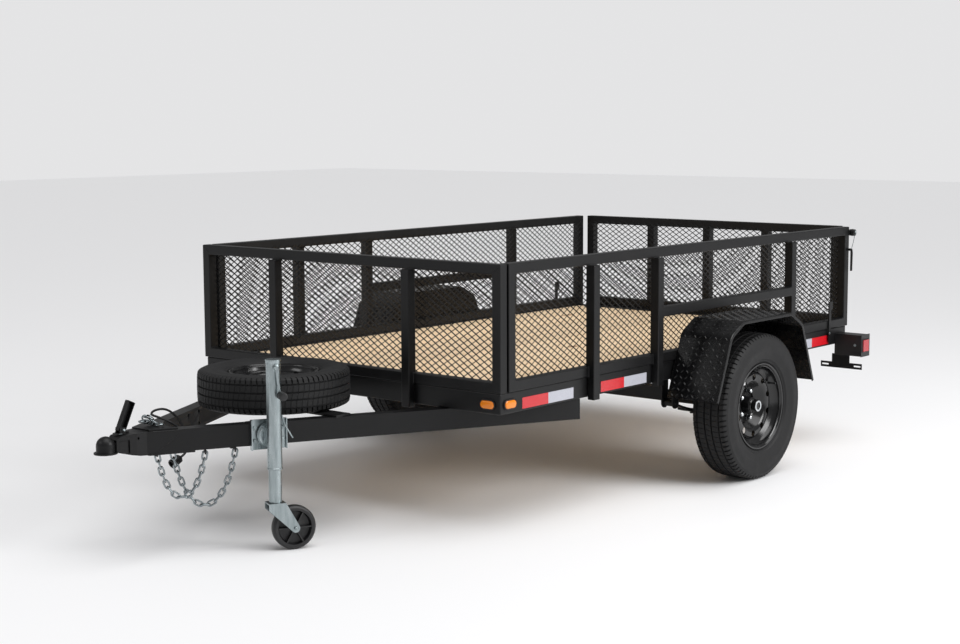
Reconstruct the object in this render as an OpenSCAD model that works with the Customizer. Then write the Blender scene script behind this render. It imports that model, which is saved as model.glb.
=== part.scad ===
// Single-axle utility trailer with expanded-metal sides, a drop-down tailgate,
// a flat spare wheel and a swivel jack.
// Millimetres. X points to the left side, Y to the rear, Z up. The tyres and the
// jack wheel stand on Z = 0, and the origin lies under the middle of the trailer.

/* [Bed] */
// Width across the side panels
bed_w = 1540; // [1240:10:1900]
// Length from the front panel's face to the rear posts
bed_l = 2512; // [2090:10:3050]
// Height of the side panels
wall_h = 452; // [370:2:560]
// Side of the square tube of panels and tailgate
tube = 38; // [32:1:45]
// Height of the main frame rails
rail_h = 76; // [60:1:92]
// Width of the main frame rails
rail_w = 38; // [32:1:46]
// How far the uprights stand out from the panels
proud = 24; // [16:1:30]
// Height of the frame's underside above the floor
frame_z = 428; // [400:1:480]
// Number of deck boards
boards = 8; // [6:1:10]
// Thickness of the deck boards
board_t = 38; // [28:1:40]

/* [Tongue] */
// Distance from the front panel to the tip of the tongue rails
tongue_l = 965; // [850:5:1150]
// How far the tongue rails run back under the bed
tongue_tail = 470; // [380:10:560]
// Width of a tongue rail
tongue_w = 50; // [40:1:60]
// Height of a tongue rail
tongue_h = 76; // [64:1:90]
// Wall of a tongue rail
tongue_wall = 4; // [3:0.5:6]
// Diameter of the hitch ball that the coupler takes
ball_d = 50.8; // [47.6:0.1:58.7]

/* [Wheels and axle] */
// Outer diameter of a road tyre
tyre_d = 592; // [540:2:640]
// Width of a road tyre
tyre_w = 165; // [140:1:185]
// Diameter over the flanges of a road rim
rim_d = 354; // [330:1:380]
// Distance from the trailer's middle to a wheel's middle
track = 905; // [880:1:930]
// Position of the axle behind the front panel
axle_y = 1414; // [1300:2:1520]
// Diameter of the axle tube
axle_d = 50; // [44:1:60]
// Length of a leaf spring between its eyes
spring_l = 640; // [560:10:700]

/* [Fenders] */
// Width of a fender
fender_w = 230; // [210:1:250]
// Height of a fender's top above the floor
fender_z = 662; // [650:1:720]
// Length of a fender's flat top
fender_top = 372; // [320:2:440]
// Thickness of the fender plate
fender_t = 3; // [2:0.5:4]

/* [Spare wheel] */
// Outer diameter of the spare tyre
spare_d = 548; // [520:2:580]
// Width of the spare tyre
spare_w = 138; // [120:1:150]
// Distance of its middle ahead of the front panel
spare_y = 345; // [325:1:430]

/* [Jack] */
// Diameter of the jack's outer tube
jack_d = 50.8; // [46:0.1:58]
// Height of the outer tube's top above the floor
jack_top = 652; // [600:2:720]
// Diameter of the jack wheel
caster_d = 152; // [130:2:170]
// Distance from the jack's axis back to its wheel
caster_trail = 62; // [45:1:70]

/* [Tailgate] */
// Width of the tailgate
gate_w = 1424; // [1120:8:1800]
// Angle at which the tailgate is drawn, from shut
gate_angle = 0; // [0:1:180]

/* [Hidden] */
$fn = 64;

black = "#222224";
gloss = "#141416";
zinc = "#b9bec2";
rubber = "#2c2c2e";
pine = "#d8b383";
red = "#b0202a";
amber = "#f59a1a";

seat = 0.3;                    // clearance between parts that seat on each other
fit = 0.05;                    // radial clearance of a running fit
half_w = bed_w / 2;
inset = 6;                     // the main frame stands this far inside the panels
frame_top = frame_z + rail_h;
frame_x = half_w - inset;
frame_y1 = bed_l - inset;
wall_top = frame_top + wall_h;
wall_y0 = tube + 10;           // the side panels start behind the front panel
mesh_t = 3;
mesh_lap = 14;                 // how far the mesh laps over the panel tubes
foot_z = frame_z - 10;         // lower end of the uprights
upright_y = [516, 936, 1958];  // front edges of the side uprights
front_upright_x = 345;         // middle of a front upright
mid_rail_z = 687;              // underside of the rail above the fender
deck_z1 = frame_top - 4;
deck_z0 = deck_z1 - board_t;
member_y = [330, 690, 1060, 1414, 1768, 2130];
member_w = 42;
member_t = 5;

wheel_r = tyre_d / 2;
axle_z = wheel_r;
spring_x = frame_x - rail_w / 2;
spring_w = 45;
leaf_t = 7;
leaves = 3;
camber = 62;
axle_r = axle_d / 2;
leaf_top = axle_z - axle_r;    // the springs hang below the axle
eye_z = leaf_top + camber - leaf_t / 2;
eye_r = 14;
eye_pin_r = 7;
hanger_t = 5;
spring_sweep = ((spring_l / 2) * (spring_l / 2) + camber * camber) / (2 * camber);

hub_r = 40;                    // barrel of a hub
hub_bore = 17;                 // spindle radius
stud_pcd = 114.3;
face_x = track - 12;           // where a wheel disc meets its hub
hub_in = face_x - 70;

tongue_tip_x = 38;
rail_angle = atan((frame_x - tongue_tip_x) / (tongue_l + tongue_tail));
tongue_z0 = frame_z - tongue_h;

ball_y = -tongue_l - 135;      // middle of the ball socket
dome_r = ball_d / 2 + 5.6;
ball_z = frame_z - dome_r;
lip_r = dome_r + 8;
nose_y = ball_y - lip_r;

spare_z0 = frame_z + 8;        // the carrier's cross bar is 8 thick
spare_mid = spare_z0 + spare_w / 2;

jack_off = 76;                 // from the rail's face to the jack's axis
pivot_along = 420;             // from the rail's tip to the jack, along the rail
pivot_z = tongue_z0 + tongue_h / 2;
pivot_r = 16;
jack_r = jack_d / 2;
inner_r = 22.2;
outer_z0 = 281;                // lower end of the outer tube
fork_z = caster_d / 2 + 92;    // lower end of the inner tube
inner_l = 375;
caster_r = caster_d / 2;
caster_w = 42;
crank_z = jack_top - 22;

box_y0 = bed_l - 107;
box_d = 73;
box_w = 134;
box_h = 96;
box_z0 = frame_top - 123;

gate_y0 = bed_l + 6;           // front face of the shut tailgate
gate_z0 = frame_top + 4;
hinge_y = gate_y0 + tube + 10;
hinge_z = frame_top - 14;
hinge_r = 6;
knuckle_r = 12;
hinge_x = [-gate_w / 2 + 180, 0, gate_w / 2 - 180];
gate_upright_x = [-324, 0, 324];
rear_y = hinge_y + knuckle_r;
y_shift = -(nose_y + rear_y) / 2;

// A box given by its two corners
module block(a, b) {
    translate(a) cube([b[0] - a[0], b[1] - a[1], b[2] - a[2]]);
}

// A rod between two points along X, Y or Z
module rod_x(p, r, l) { translate(p) rotate([0, 90, 0]) cylinder(r = r, h = l); }
module rod_y(p, r, l) { translate(p) rotate([-90, 0, 0]) cylinder(r = r, h = l); }
module rod_z(p, r, l) { translate(p) cylinder(r = r, h = l); }

// Left and right copies of something drawn on the left
module both_sides() {
    children();
    mirror([1, 0, 0]) children();
}

// The whole trailer stands with its middle over the origin
module stand() {
    translate([0, y_shift, 0]) children();
}

// A flat rectangular frame of square tube in the YZ plane, from x0 inwards
module ring_yz(x0, y0, y1, z0, z1) {
    difference() {
        block([x0, y0, z0], [x0 + tube, y1, z1]);
        block([x0 - 1, y0 + tube, z0 + tube], [x0 + tube + 1, y1 - tube, z1 - tube]);
    }
}

// The same in the XZ plane
module ring_xz(y0, x0, x1, z0, z1) {
    difference() {
        block([x0, y0, z0], [x1, y0 + tube, z1]);
        block([x0 + tube, y0 - 1, z0 + tube], [x1 - tube, y0 + tube + 1, z1 - tube]);
    }
}

// ---- Bed ----

module main_frame() color(black)
    difference() {
        block([-frame_x, inset, frame_z], [frame_x, frame_y1, frame_top]);
        block([-frame_x + rail_w, inset + rail_w, frame_z - 1],
              [frame_x - rail_w, frame_y1 - rail_w, frame_top + 1]);
    }

module cross_members() color(black)
    for (y = member_y)
        difference() {
            block([-frame_x + rail_w, y, frame_z], [frame_x - rail_w, y + member_w, deck_z0]);
            block([-frame_x, y + member_t, frame_z + member_t],
                  [frame_x, y + member_w + 1, deck_z0 - member_t]);
        }

module deck_boards() color(pine) {
    gap = 3;
    span = 2 * (frame_x - rail_w) - 2 * gap;
    pitch = (span + gap) / boards;
    for (i = [0 : boards - 1])
        block([-span / 2 + i * pitch, inset + rail_w + gap, deck_z0],
              [-span / 2 + i * pitch + pitch - gap, frame_y1 - rail_w - gap, deck_z1]);
}

module front_panel() color(black) {
    ring_xz(0, -half_w, half_w, frame_top, wall_top);
    for (x = [-front_upright_x, front_upright_x]) {
        block([x - tube / 2, -proud, frame_top + tube - 1], [x + tube / 2, tube - proud, wall_top - tube]);
        block([x - tube / 2, -proud, foot_z], [x + tube / 2, 0, frame_top + tube]);
        block([x - tube / 2, -proud, foot_z], [x + tube / 2, inset, frame_top]);
    }
}

module front_mesh() color(gloss)
    block([-half_w + tube - mesh_lap, tube, frame_top + tube - mesh_lap],
          [half_w - tube + mesh_lap, tube + mesh_t, wall_top - tube + mesh_lap]);

module side_wall() color(black) {
    ring_yz(half_w - tube, wall_y0, bed_l, frame_top, wall_top);
    for (y = upright_y) {
        block([half_w - tube + proud, y, frame_top + tube - 1], [half_w + proud, y + tube, wall_top - tube]);
        block([half_w, y, foot_z], [half_w + proud, y + tube, frame_top + tube]);
        block([frame_x, y, foot_z], [half_w + proud, y + tube, frame_top]);
    }
    block([half_w - tube + proud, upright_y[1] + tube, mid_rail_z],
          [half_w + proud, upright_y[2], mid_rail_z + tube]);
}
module left_wall() side_wall();
module right_wall() mirror([1, 0, 0]) side_wall();

module side_mesh() color(gloss)
    block([half_w - tube - mesh_t, wall_y0 + tube - mesh_lap, frame_top + tube - mesh_lap],
          [half_w - tube, bed_l - tube + mesh_lap, wall_top - tube + mesh_lap]);
module left_mesh() side_mesh();
module right_mesh() mirror([1, 0, 0]) side_mesh();

// ---- Fenders ----

// Side view of the folded fender plate: foot, shoulder and top corner
fender_lip = 14;                 // depth of the outer edge's return
fender_foot = [378, 362];
fender_knee = [279, 611];
module fender_outline(inward) {
    offset(delta = -inward)
        polygon([[-fender_foot[0], fender_foot[1] - 40], [-fender_foot[0], fender_foot[1]],
                 [-fender_knee[0], fender_knee[1]], [-fender_top / 2, fender_z],
                 [fender_top / 2, fender_z], [fender_knee[0], fender_knee[1]],
                 [fender_foot[0], fender_foot[1]], [fender_foot[0], fender_foot[1] - 40]]);
}
module fender() color(gloss)
    translate([half_w, axle_y, 0]) rotate([90, 0, 90])
        difference() {
            linear_extrude(fender_w) fender_outline(0);
            translate([0, 0, fender_t]) linear_extrude(fender_w - 2 * fender_t) fender_outline(fender_t);
            translate([0, 0, fender_w - 2 * fender_t]) linear_extrude(fender_w) fender_outline(fender_lip);
            translate([-2 * fender_foot[0], 0, -1])
                cube([4 * fender_foot[0], fender_foot[1], fender_w + 2]);
            // the inner skirt, against the bed, ends at the frame's underside
            translate([-2 * fender_foot[0], 0, -1])
                cube([4 * fender_foot[0], frame_z, fender_t + 1]);
        }
module left_fender() fender();
module right_fender() mirror([1, 0, 0]) fender();

// ---- Axle and springs ----

module axle() color(black) {
    rod_x([-hub_in + 8, axle_y, axle_z], axle_r, 2 * hub_in - 16);
    both_sides() rod_x([hub_in - 9, axle_y, axle_z], hub_bore, face_x + 20 - hub_in);
}

// One leaf drawn in the YZ plane as a slice of a long arc
module leaf(n) {
    reach = spring_l / 2 * (1 - n * 0.28);
    r0 = spring_sweep;
    translate([0, r0 + leaf_top - leaf_t - camber / 60, 0])
        difference() {
            circle(r = r0 + (n + 1) * leaf_t - leaf_t, $fn = 720);
            circle(r = r0 + n * leaf_t - leaf_t, $fn = 720);
            translate([-2 * r0, -r0 + camber + 60]) square([4 * r0, 4 * r0]);
            translate([reach, -2 * r0]) square([4 * r0, 4 * r0]);
            translate([-reach - 4 * r0, -2 * r0]) square([4 * r0, 4 * r0]);
        }
}
module leaf_springs() color(black)
    both_sides() translate([spring_x - spring_w / 2, axle_y, 0]) rotate([90, 0, 90])
        linear_extrude(spring_w) difference() {
            union() {
                for (n = [0 : leaves - 1]) leaf(n);
                for (s = [-1, 1]) translate([s * spring_l / 2, eye_z]) circle(r = eye_r);
            }
            for (s = [-1, 1]) translate([s * spring_l / 2, eye_z]) circle(r = eye_pin_r + fit);
        }

module spring_hangers() color(black) {
    both_sides() for (s = [-1, 1]) translate([spring_x, axle_y + s * spring_l / 2, 0]) {
        for (t = [-1, 1])
            translate([t * (spring_w / 2 + seat + hanger_t / 2) - hanger_t / 2, 0, 0]) {
                block([0, -22, eye_z], [hanger_t, 22, frame_z]);
                rod_x([0, 0, eye_z], 22, hanger_t);
            }
        rod_x([-spring_w / 2 - seat - hanger_t - 6, 0, eye_z], eye_pin_r, spring_w + 2 * seat + 2 * hanger_t + 12);
    }
    cross_x = spring_x - spring_w / 2 - seat - hanger_t;
    block([-cross_x, axle_y - spring_l / 2 - 22, frame_z - 84], [cross_x, axle_y - spring_l / 2 + 22, frame_z - 34]);
}

clamp_t = 8;
clamp_bolt_r = 5.5;
clamp_x = spring_w / 2 + clamp_bolt_r + seat;
pack_z = leaf_top - leaves * leaf_t - 1;
module spring_clamps() color(black)
    both_sides() translate([spring_x, axle_y, 0]) {
        block([-36, -55, pack_z - clamp_t - 1], [36, 55, pack_z - 1]);
        for (y = [-axle_r - clamp_bolt_r - seat, axle_r + clamp_bolt_r + seat], x = [-clamp_x, clamp_x])
            rod_z([x, y, pack_z - clamp_t - 14], clamp_bolt_r, axle_z + axle_r + clamp_bolt_r + seat - pack_z + clamp_t + 14);
        for (x = [-clamp_x, clamp_x])
            rod_y([x, -axle_r - clamp_bolt_r - seat, axle_z + axle_r + clamp_bolt_r + seat], clamp_bolt_r,
                  2 * (axle_r + clamp_bolt_r + seat));
    }

// ---- Wheels, drawn about their own axis on X, outside face to +X ----

// Half of a tyre's cross-section as [across, out] points
function tyre_section(w, r, bead) = [
    [-w * 0.36, bead], [-w * 0.36, bead + 14], [-w * 0.43, bead + 24], [-w * 0.5, (bead + r) / 2 - 2],
    [-w * 0.5, (bead + r) / 2 + 14], [-w * 0.455, r - 16], [-w * 0.40, r - 5], [-w * 0.2, r], [w * 0.2, r],
    [w * 0.40, r - 5], [w * 0.455, r - 16], [w * 0.5, (bead + r) / 2 + 14], [w * 0.5, (bead + r) / 2 - 2],
    [w * 0.43, bead + 24], [w * 0.36, bead + 14], [w * 0.36, bead]];

module tyre(w, r, bead) {
    rotate([0, 90, 0]) rotate_extrude($fn = 96)
        difference() {
            polygon([for (p = tyre_section(w, r, bead)) [p[1], p[0]]]);
            polygon([[bead - 1, -w * 0.29], [bead + 18, -w * 0.31], [(bead + r) / 2 + 8, -w * 0.41], [r - 18, -w * 0.36],
                     [r - 14, 0], [r - 18, w * 0.36], [(bead + r) / 2 + 8, w * 0.41], [bead + 18, w * 0.31],
                     [bead - 1, w * 0.29]]);
        }
}

// A steel rim: barrel, flanges and a dished disc with round hand holes
module rim(w, r, bead, disc_x, holes, bolt_r) {
    t = 4;
    lip = w * 0.36 + seat;
    difference() {
        union() {
        rotate([0, 90, 0]) rotate_extrude($fn = 96)
            polygon([[r, -lip - t], [r, -lip], [bead - seat, -lip], [bead - seat, -w * 0.2], [bead - 22, -w * 0.14],
                     [bead - 22, w * 0.14], [bead - seat, w * 0.2], [bead - seat, lip], [r, lip], [r, lip + t],
                     [bead - t, lip + t], [bead - t, w * 0.2 + 2], [bead - 26, w * 0.14], [bead - 26, -w * 0.14],
                     [bead - t, -w * 0.2 - 2], [bead - t, -lip - t]]);
        rotate([0, 90, 0]) rotate_extrude($fn = 96)
            polygon([[34, disc_x], [78, disc_x], [92, disc_x + 14], [104, disc_x + 14], [bead - 24, disc_x - 8],
                     [bead - 24, disc_x - 12], [102, disc_x + 10], [93, disc_x + 10], [80, disc_x - 4], [34, disc_x - 4]]);
        }
        for (i = [0 : holes - 1]) rotate([360 / holes * i, 0, 0])
            translate([disc_x - 30, 0, bead - 47]) rotate([0, 90, 0]) cylinder(r = 12, h = 60);
        for (i = [0 : 4]) rotate([72 * i, 0, 0])
            translate([disc_x - 10, 0, stud_pcd / 2]) rotate([0, 90, 0]) cylinder(r = bolt_r, h = 20);
    }
}

rim_bead = rim_d / 2 - 12;
module road_tyre() color(rubber) translate([track, axle_y, axle_z]) tyre(tyre_w, wheel_r, rim_bead);
module road_rim() color(gloss) translate([track, axle_y, axle_z])
    rim(tyre_w, rim_d / 2, rim_bead, face_x + 4 + seat - track, 10, 7.5);
module hub() color(zinc) translate([0, axle_y, axle_z])
    difference() {
        union() {
            rod_x([hub_in, 0, 0], hub_r, face_x - hub_in);
            rod_x([face_x - 10, 0, 0], 72, 10);
            rod_x([face_x - 4, 0, 0], 33, 38);
            rod_x([face_x + 30, 0, 0], 25, 20);
            for (i = [0 : 4]) rotate([72 * i, 0, 0]) {
                rod_x([face_x - 6, 0, stud_pcd / 2], 6.5, 32);
                translate([face_x + 4 + 2 * seat, 0, stud_pcd / 2]) rotate([0, 90, 0]) cylinder(r = 11, h = 15, $fn = 6);
            }
        }
        rod_x([hub_in - 1, 0, 0], hub_bore + fit, face_x + 14 - hub_in);
    }
module left_tyre() road_tyre();
module left_rim() road_rim();
module left_hub() hub();
module right_tyre() mirror([1, 0, 0]) road_tyre();
module right_rim() mirror([1, 0, 0]) road_rim();
module right_hub() mirror([1, 0, 0]) hub();

// ---- Tongue ----

// Places something on the left tongue rail: X outwards, Y rearwards, from the tip of its outer face
module on_rail() {
    translate([tongue_tip_x, -tongue_l, 0]) rotate([0, 0, -rail_angle]) children();
}

rail_run = (tongue_l + tongue_tail) / cos(rail_angle);
module tongue_rails() color(black)
    both_sides() difference() {
        on_rail() difference() {
            block([-tongue_w, -40, tongue_z0], [0, rail_run, frame_z]);
            block([-tongue_w + tongue_wall, -41, tongue_z0 + tongue_wall],
                  [-tongue_wall, rail_run + 1, frame_z - tongue_wall]);
        }
        at_jack() for (b = mount_bolts) rod_x([-tongue_w - 1, b[0], pivot_z + b[1]], bolt_r + seat, tongue_w + 2);
        translate([cable_path[0][0], cable_path[0][1], cable_path[0][2]]) rotate([0, 0, -rail_angle])
            rod_x([-8, 0, 0], cable_r + 1, 18);
        block([-200, -tongue_l - 200, tongue_z0 - 1], [400, -tongue_l + 10, frame_z + 1]);
        block([-200, -tongue_l - 200, tongue_z0 - 1], [2, tongue_tail, frame_z + 1]);
    }

plate_t = 6;
bolt_r = 6;
chain_wire = 3.2;
link_in = 25;
link_gap = 9.5;
link_pitch = link_in - 0.9;
link_end_z = tongue_z0 - 25;   // middle of a chain's first link

// Each chain is [x, y of its front end, heading from the rear, links, catenary parameter]
chains = [[15, -tongue_l + 68, 36, 15, 34], [15, -tongue_l + 134, 42, 19, 46]];

function asinh(v) = ln(v + sqrt(v * v + 1));
function half_chain(c) = (c[3] - 1) / 2 * link_pitch;
function half_span(c) = c[4] * asinh(half_chain(c) / c[4]);

// Puts something at the middle of a chain's span, Y along the span, Z = 0 at its end links
module at_chain(c) {
    translate([c[0], c[1], link_end_z]) rotate([0, 0, -c[2]]) translate([0, half_span(c), 0]) children();
}

// A U-shaped staple that holds the end link of a chain
module staple(c, end) {
    slope = atan(half_chain(c) / c[4]);
    hold = link_in / 2 - chain_wire - seat;
    at_chain(c) translate([0, end * (half_span(c) + hold * cos(slope)), hold * sin(slope)]) {
        rod_x([-11, 0, 0], 3, 22);
        for (x = [-11, 11]) rod_z([x, 0, -3], 3, tongue_z0 - link_end_z - hold * sin(slope) + 3);
    }
}

module tongue_plates() color(black) {
    translate([0, 0, frame_z]) linear_extrude(plate_t)
        polygon([[-44, -tongue_l + 10], [44, -tongue_l + 10], [88, -tongue_l + 98], [-88, -tongue_l + 98]]);
    translate([0, 0, tongue_z0 - plate_t]) linear_extrude(plate_t)
        polygon([[-44, -tongue_l + 10], [44, -tongue_l + 10], [112, -tongue_l + 150], [-112, -tongue_l + 150]]);
    for (c = chains, end = [-1, 1]) staple(c, end);
}

// The coupler's side plate, drawn on the outer face of the left tongue rail
module coupler_wing() {
    on_rail() translate([seat, 0, 0]) rotate([90, 0, 90]) linear_extrude(5)
        polygon([[-18, tongue_z0 + 5], [34, tongue_z0 + 5], [112, frame_z - 16], [120, frame_z - 1], [-18, frame_z - 1]]);
}
// Half of the section through the ball housing
socket_r = ball_d / 2 + 0.4;
module ball_housing()
    polygon(concat([[socket_r, -27], [lip_r, -27], [lip_r, -22], [dome_r, -22]],
                   [for (a = [0 : 10 : 90]) dome_r * [cos(a), sin(a)]],
                   [for (a = [90 : -10 : 0]) socket_r * [cos(a), sin(a)]]));

// The neck between ball housing and rails is the common part of its plan and its side view
neck_y0 = ball_y + 27;
neck_y1 = -tongue_l + 8;
neck_w = tongue_tip_x + 7;
module coupler_neck()
    intersection() {
        translate([0, 0, tongue_z0 - 10]) linear_extrude(tongue_h + 20)
            polygon([[-24, neck_y0], [24, neck_y0], [neck_w - 4, neck_y1 - 46], [neck_w, neck_y1],
                     [-neck_w, neck_y1], [-neck_w + 4, neck_y1 - 46]]);
        translate([-neck_w - 10, 0, 0]) rotate([90, 0, 90]) linear_extrude(2 * neck_w + 20)
            polygon([[neck_y0, ball_z - 22], [neck_y1 - 46, tongue_z0 + 6], [neck_y1, tongue_z0 + 2],
                     [neck_y1, frame_z + 0.5], [neck_y1 - 50, frame_z + 0.5], [neck_y0 + 16, frame_z - 4],
                     [neck_y0, ball_z + 16]]);
    }
module coupler() color(gloss)
    difference() {
        union() {
            both_sides() coupler_wing();
            coupler_neck();
            translate([0, ball_y, ball_z]) rotate_extrude() ball_housing();
        }
        block([-neck_w + 10, ball_y + 36, tongue_z0 - 1], [neck_w - 10, neck_y1 - 6, ball_z + 12]);
        rod_x([-2 * neck_w, neck_y1 - 40, ball_z + 14], 4.5, 4 * neck_w);
    }

module coupler_latch() color(gloss) {
    base_y = ball_y + 62;
    base_z = frame_z - 1 + seat;
    block([-13, base_y - 22, base_z], [13, base_y + 14, base_z + 5]);
    for (x = [-13, 9]) block([x, base_y - 10, base_z], [x + 4, base_y + 12, base_z + 22]);
    rod_x([-17, base_y + 2, base_z + 15], 4, 34);
    translate([0, base_y + 2, base_z + 15]) rotate([-26, 0, 0]) difference() {
        block([-8.5, -15, -8], [8.5, 15, 98]);
        block([-5.5, -12, 8], [20, 12, 96]);
    }
}

module link() {
    for (e = [-1, 1]) {
        translate([0, e * (link_in / 2 - link_gap / 2), 0])
            rotate([0, 0, e > 0 ? 0 : 180])
                rotate_extrude(angle = 180, $fn = 32) translate([link_gap / 2 + chain_wire, 0])
                    circle(r = chain_wire, $fn = 16);
        translate([e * (link_gap / 2 + chain_wire), -link_in / 2 + link_gap / 2, 0])
            rotate([-90, 0, 0]) cylinder(r = chain_wire, h = link_in - link_gap, $fn = 16);
    }
}

// A chain hangs as a catenary between two ends at one height, and its end links stand upright
module chain(c) {
    end_z = sqrt(c[4] * c[4] + half_chain(c) * half_chain(c));
    at_chain(c) for (i = [0 : c[3] - 1]) {
        s = i * link_pitch - half_chain(c);
        translate([0, c[4] * asinh(s / c[4]), sqrt(c[4] * c[4] + s * s) - end_z])
            rotate([atan(s / c[4]), 0, 0]) rotate([0, (i + 1) % 2 * 90, 0]) link();
    }
}
module safety_chains() color(zinc)
    for (c = chains) chain(c);

hook_r = 11;
module chain_hooks() color(zinc)
    for (x = [-20, 20])
        translate([x, -tongue_l + 76, frame_z + plate_t + seat + 4]) rotate_extrude() translate([hook_r, 0]) circle(r = 4, $fn = 24);

// Route of the wiring cable, from its hole in the left rail to its plug
cable_r = 4;
cable_path = [[66, -800, 396], [54, -796, 398], [42, -806, 408], [32, -830, 430], [24, -860, 450],
              [12, -888, 464], [-4, -900, 472], [-18, -888, 478], [-24, -862, 482], [-24, -832, 480],
              [-24, -802, 466], [-24, -774, 440], [-24, -750, 405], [-24, -736, 370], [-24, -732, 340],
              [-24, -744, 316], [-24, -764, 304]];
plug_r = 15;
plug_l = 46;

// Points of a smooth curve through a route, two for each stretch
function curve(p, i, t) = let(
    a = p[max(i - 1, 0)], b = p[i], c = p[i + 1], d = p[min(i + 2, len(p) - 1)])
    0.5 * (2 * b + (c - a) * t + (2 * a - 5 * b + 4 * c - d) * t * t + (3 * b - a - 3 * c + d) * t * t * t);
function smooth(p) = [for (i = [0 : len(p) - 2], t = [0, 0.5]) curve(p, i, t), p[len(p) - 1]];
function unit(v) = v / norm(v);
function tangent(p, i) = unit(p[min(i + 1, len(p) - 1)] - p[max(i - 1, 0)]);
// Carries a side direction along a route, so that the tube doesn't twist
function carry(p, i, u) = let(t = tangent(p, i)) unit(u - t * (u * t));
function sides(p, i = 0, u = [0, 0, 1]) =
    i >= len(p) ? [] : let(v = carry(p, i, u)) concat([v], sides(p, i + 1, v));
module tube(path, r, n = 8) {
    p = smooth(path);
    u = sides(p);
    points = [for (i = [0 : len(p) - 1], k = [0 : n - 1])
        p[i] + r * (cos(360 * k / n) * u[i] + sin(360 * k / n) * cross(tangent(p, i), u[i]))];
    last = (len(p) - 1) * n;
    faces = concat([[for (k = [0 : n - 1]) k]], [[for (k = [n - 1 : -1 : 0]) last + k]],
        [for (i = [0 : len(p) - 2], k = [0 : n - 1])
            [i * n + k, (i + 1) * n + k, (i + 1) * n + (k + 1) % n, i * n + (k + 1) % n]]);
    polyhedron(points, faces);
}
module wiring_cable() color(gloss) tube(cable_path, cable_r);

module wiring_plug() color(gloss) {
    e = cable_path[len(cable_path) - 1];
    dir = unit(e - smooth(cable_path)[2 * len(cable_path) - 3]);
    turn = atan2(dir[2], -dir[1]);
    translate(e) rotate([-turn, 0, 0]) difference() {
        rod_y([0, -plug_l, 0], plug_r, plug_l);
        rod_y([0, -plug_l - 1, 0], plug_r - 4, 22);
    }
}

// ---- Spare wheel ----

spare_bead = 152;
module spare_carrier() color(black) {
    reach = (tongue_tip_x + (tongue_l - spare_y) * tan(rail_angle)) - 4;
    block([-reach, -spare_y - 35, frame_z], [reach, -spare_y + 35, spare_z0]);
    rod_z([0, -spare_y, spare_z0], 8, spare_w * 0.5 + 30);
    rod_z([0, -spare_y, spare_mid + 14 + seat], 48, 6);
    translate([0, -spare_y, spare_mid + 20 + seat]) cylinder(r = 13, h = 12, $fn = 6);
}
module lay_flat() { translate([0, -spare_y, spare_mid]) rotate([0, -90, 0]) children(); }
module spare_rim() color(gloss) lay_flat() rim(spare_w, spare_bead + 12, spare_bead, 14, 10, 7.5);
module spare_tyre() color(rubber) lay_flat() tyre(spare_w, spare_d / 2, spare_bead);

// ---- Jack, drawn at its swivel: X out from the rail, Y rearwards, Z up ----

module at_jack() {
    on_rail() translate([0, pivot_along, 0]) children();
}
mount_l = 126;
mount_h = 104;
mount_t = 7;
mount_bolts = [for (y = [-1, 1], z = [-1, 1]) [y * (mount_l / 2 - 14), z * 22]];
module jack_mount() color(zinc)
    at_jack() translate([0, 0, pivot_z]) {
        block([0, -mount_l / 2, -mount_h / 2], [mount_t, mount_l / 2, mount_h / 2]);
        for (y = [-mount_l / 2, mount_l / 2 - 4]) block([0, y, -mount_h / 2], [mount_t + 12, y + 4, mount_h / 2]);
        rod_x([mount_t - 2, 0, 0], 34, 8);
        rod_x([mount_t, 0, 0], pivot_r, 32);
        block([-tongue_w - mount_t, -mount_l / 2, -tongue_h / 2], [-tongue_w, mount_l / 2, tongue_h / 2]);
        for (b = mount_bolts) rod_x([-tongue_w - mount_t - 9, b[0], b[1]], bolt_r, tongue_w + 2 * mount_t + 16);
    }

swivel_x0 = mount_t + 6.5;     // inner face of the jack's swivel plate
module jack_tube() color(zinc)
    at_jack() {
        difference() {
            union() {
                rod_z([jack_off, 0, outer_z0], jack_r, jack_top - outer_z0);
                rod_x([swivel_x0, 0, pivot_z], 44, 10);
                for (y = [-26, 20]) block([swivel_x0 + 6, y, pivot_z - 32], [jack_off, y + 6, pivot_z + 32]);
            }
            rod_z([jack_off, 0, outer_z0 - 1], inner_r + fit, jack_top - outer_z0 - 3);
            rod_x([0, 0, pivot_z], pivot_r + fit, swivel_x0 + 30);
        }
        rod_z([jack_off, 0, jack_top - 1], jack_r + 1.5, 5);
    }

crank_l = 92;
module jack_crank() color(gloss)
    at_jack() {
        rod_x([jack_off + jack_r + seat, 0, crank_z], 8, 14);
        translate([jack_off + jack_r + 8, 0, crank_z]) rotate([7, 0, 0]) {
            rod_z([0, 0, -crank_l], 5, crank_l);
            rod_x([-5, 0, -crank_l], 5, 14);
            rod_x([8, 0, -crank_l], 14, 42);
        }
    }

module jack_inner() color(zinc)
    at_jack() difference() {
        rod_z([jack_off, 0, fork_z], inner_r, inner_l);
        rod_z([jack_off, 0, fork_z + 6], inner_r - 3, inner_l);
        rod_z([jack_off, 0, fork_z - 1], stem_r + fit, 8);
    }

stem_r = 8;
caster_pin_r = 6;
fork_gap = caster_w + 6;
fork_top = fork_z - 1;
module caster_fork() color(zinc)
    at_jack() translate([jack_off, 0, 0]) {
        block([-fork_gap / 2 - 4, -30, fork_top - 5], [fork_gap / 2 + 4, 30, fork_top]);
        rod_z([0, 0, fork_top - 4], stem_r, 16);
        for (s = [-1, 1]) translate([s * (fork_gap / 2 + 2) - 2, 0, 0]) hull() {
            block([0, -30, fork_top - 24], [4, 30, fork_top - 2]);
            rod_x([0, caster_trail, caster_r], 15, 4);
        }
        rod_x([-fork_gap / 2 - 8, caster_trail, caster_r], caster_pin_r, fork_gap + 16);
    }

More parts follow.
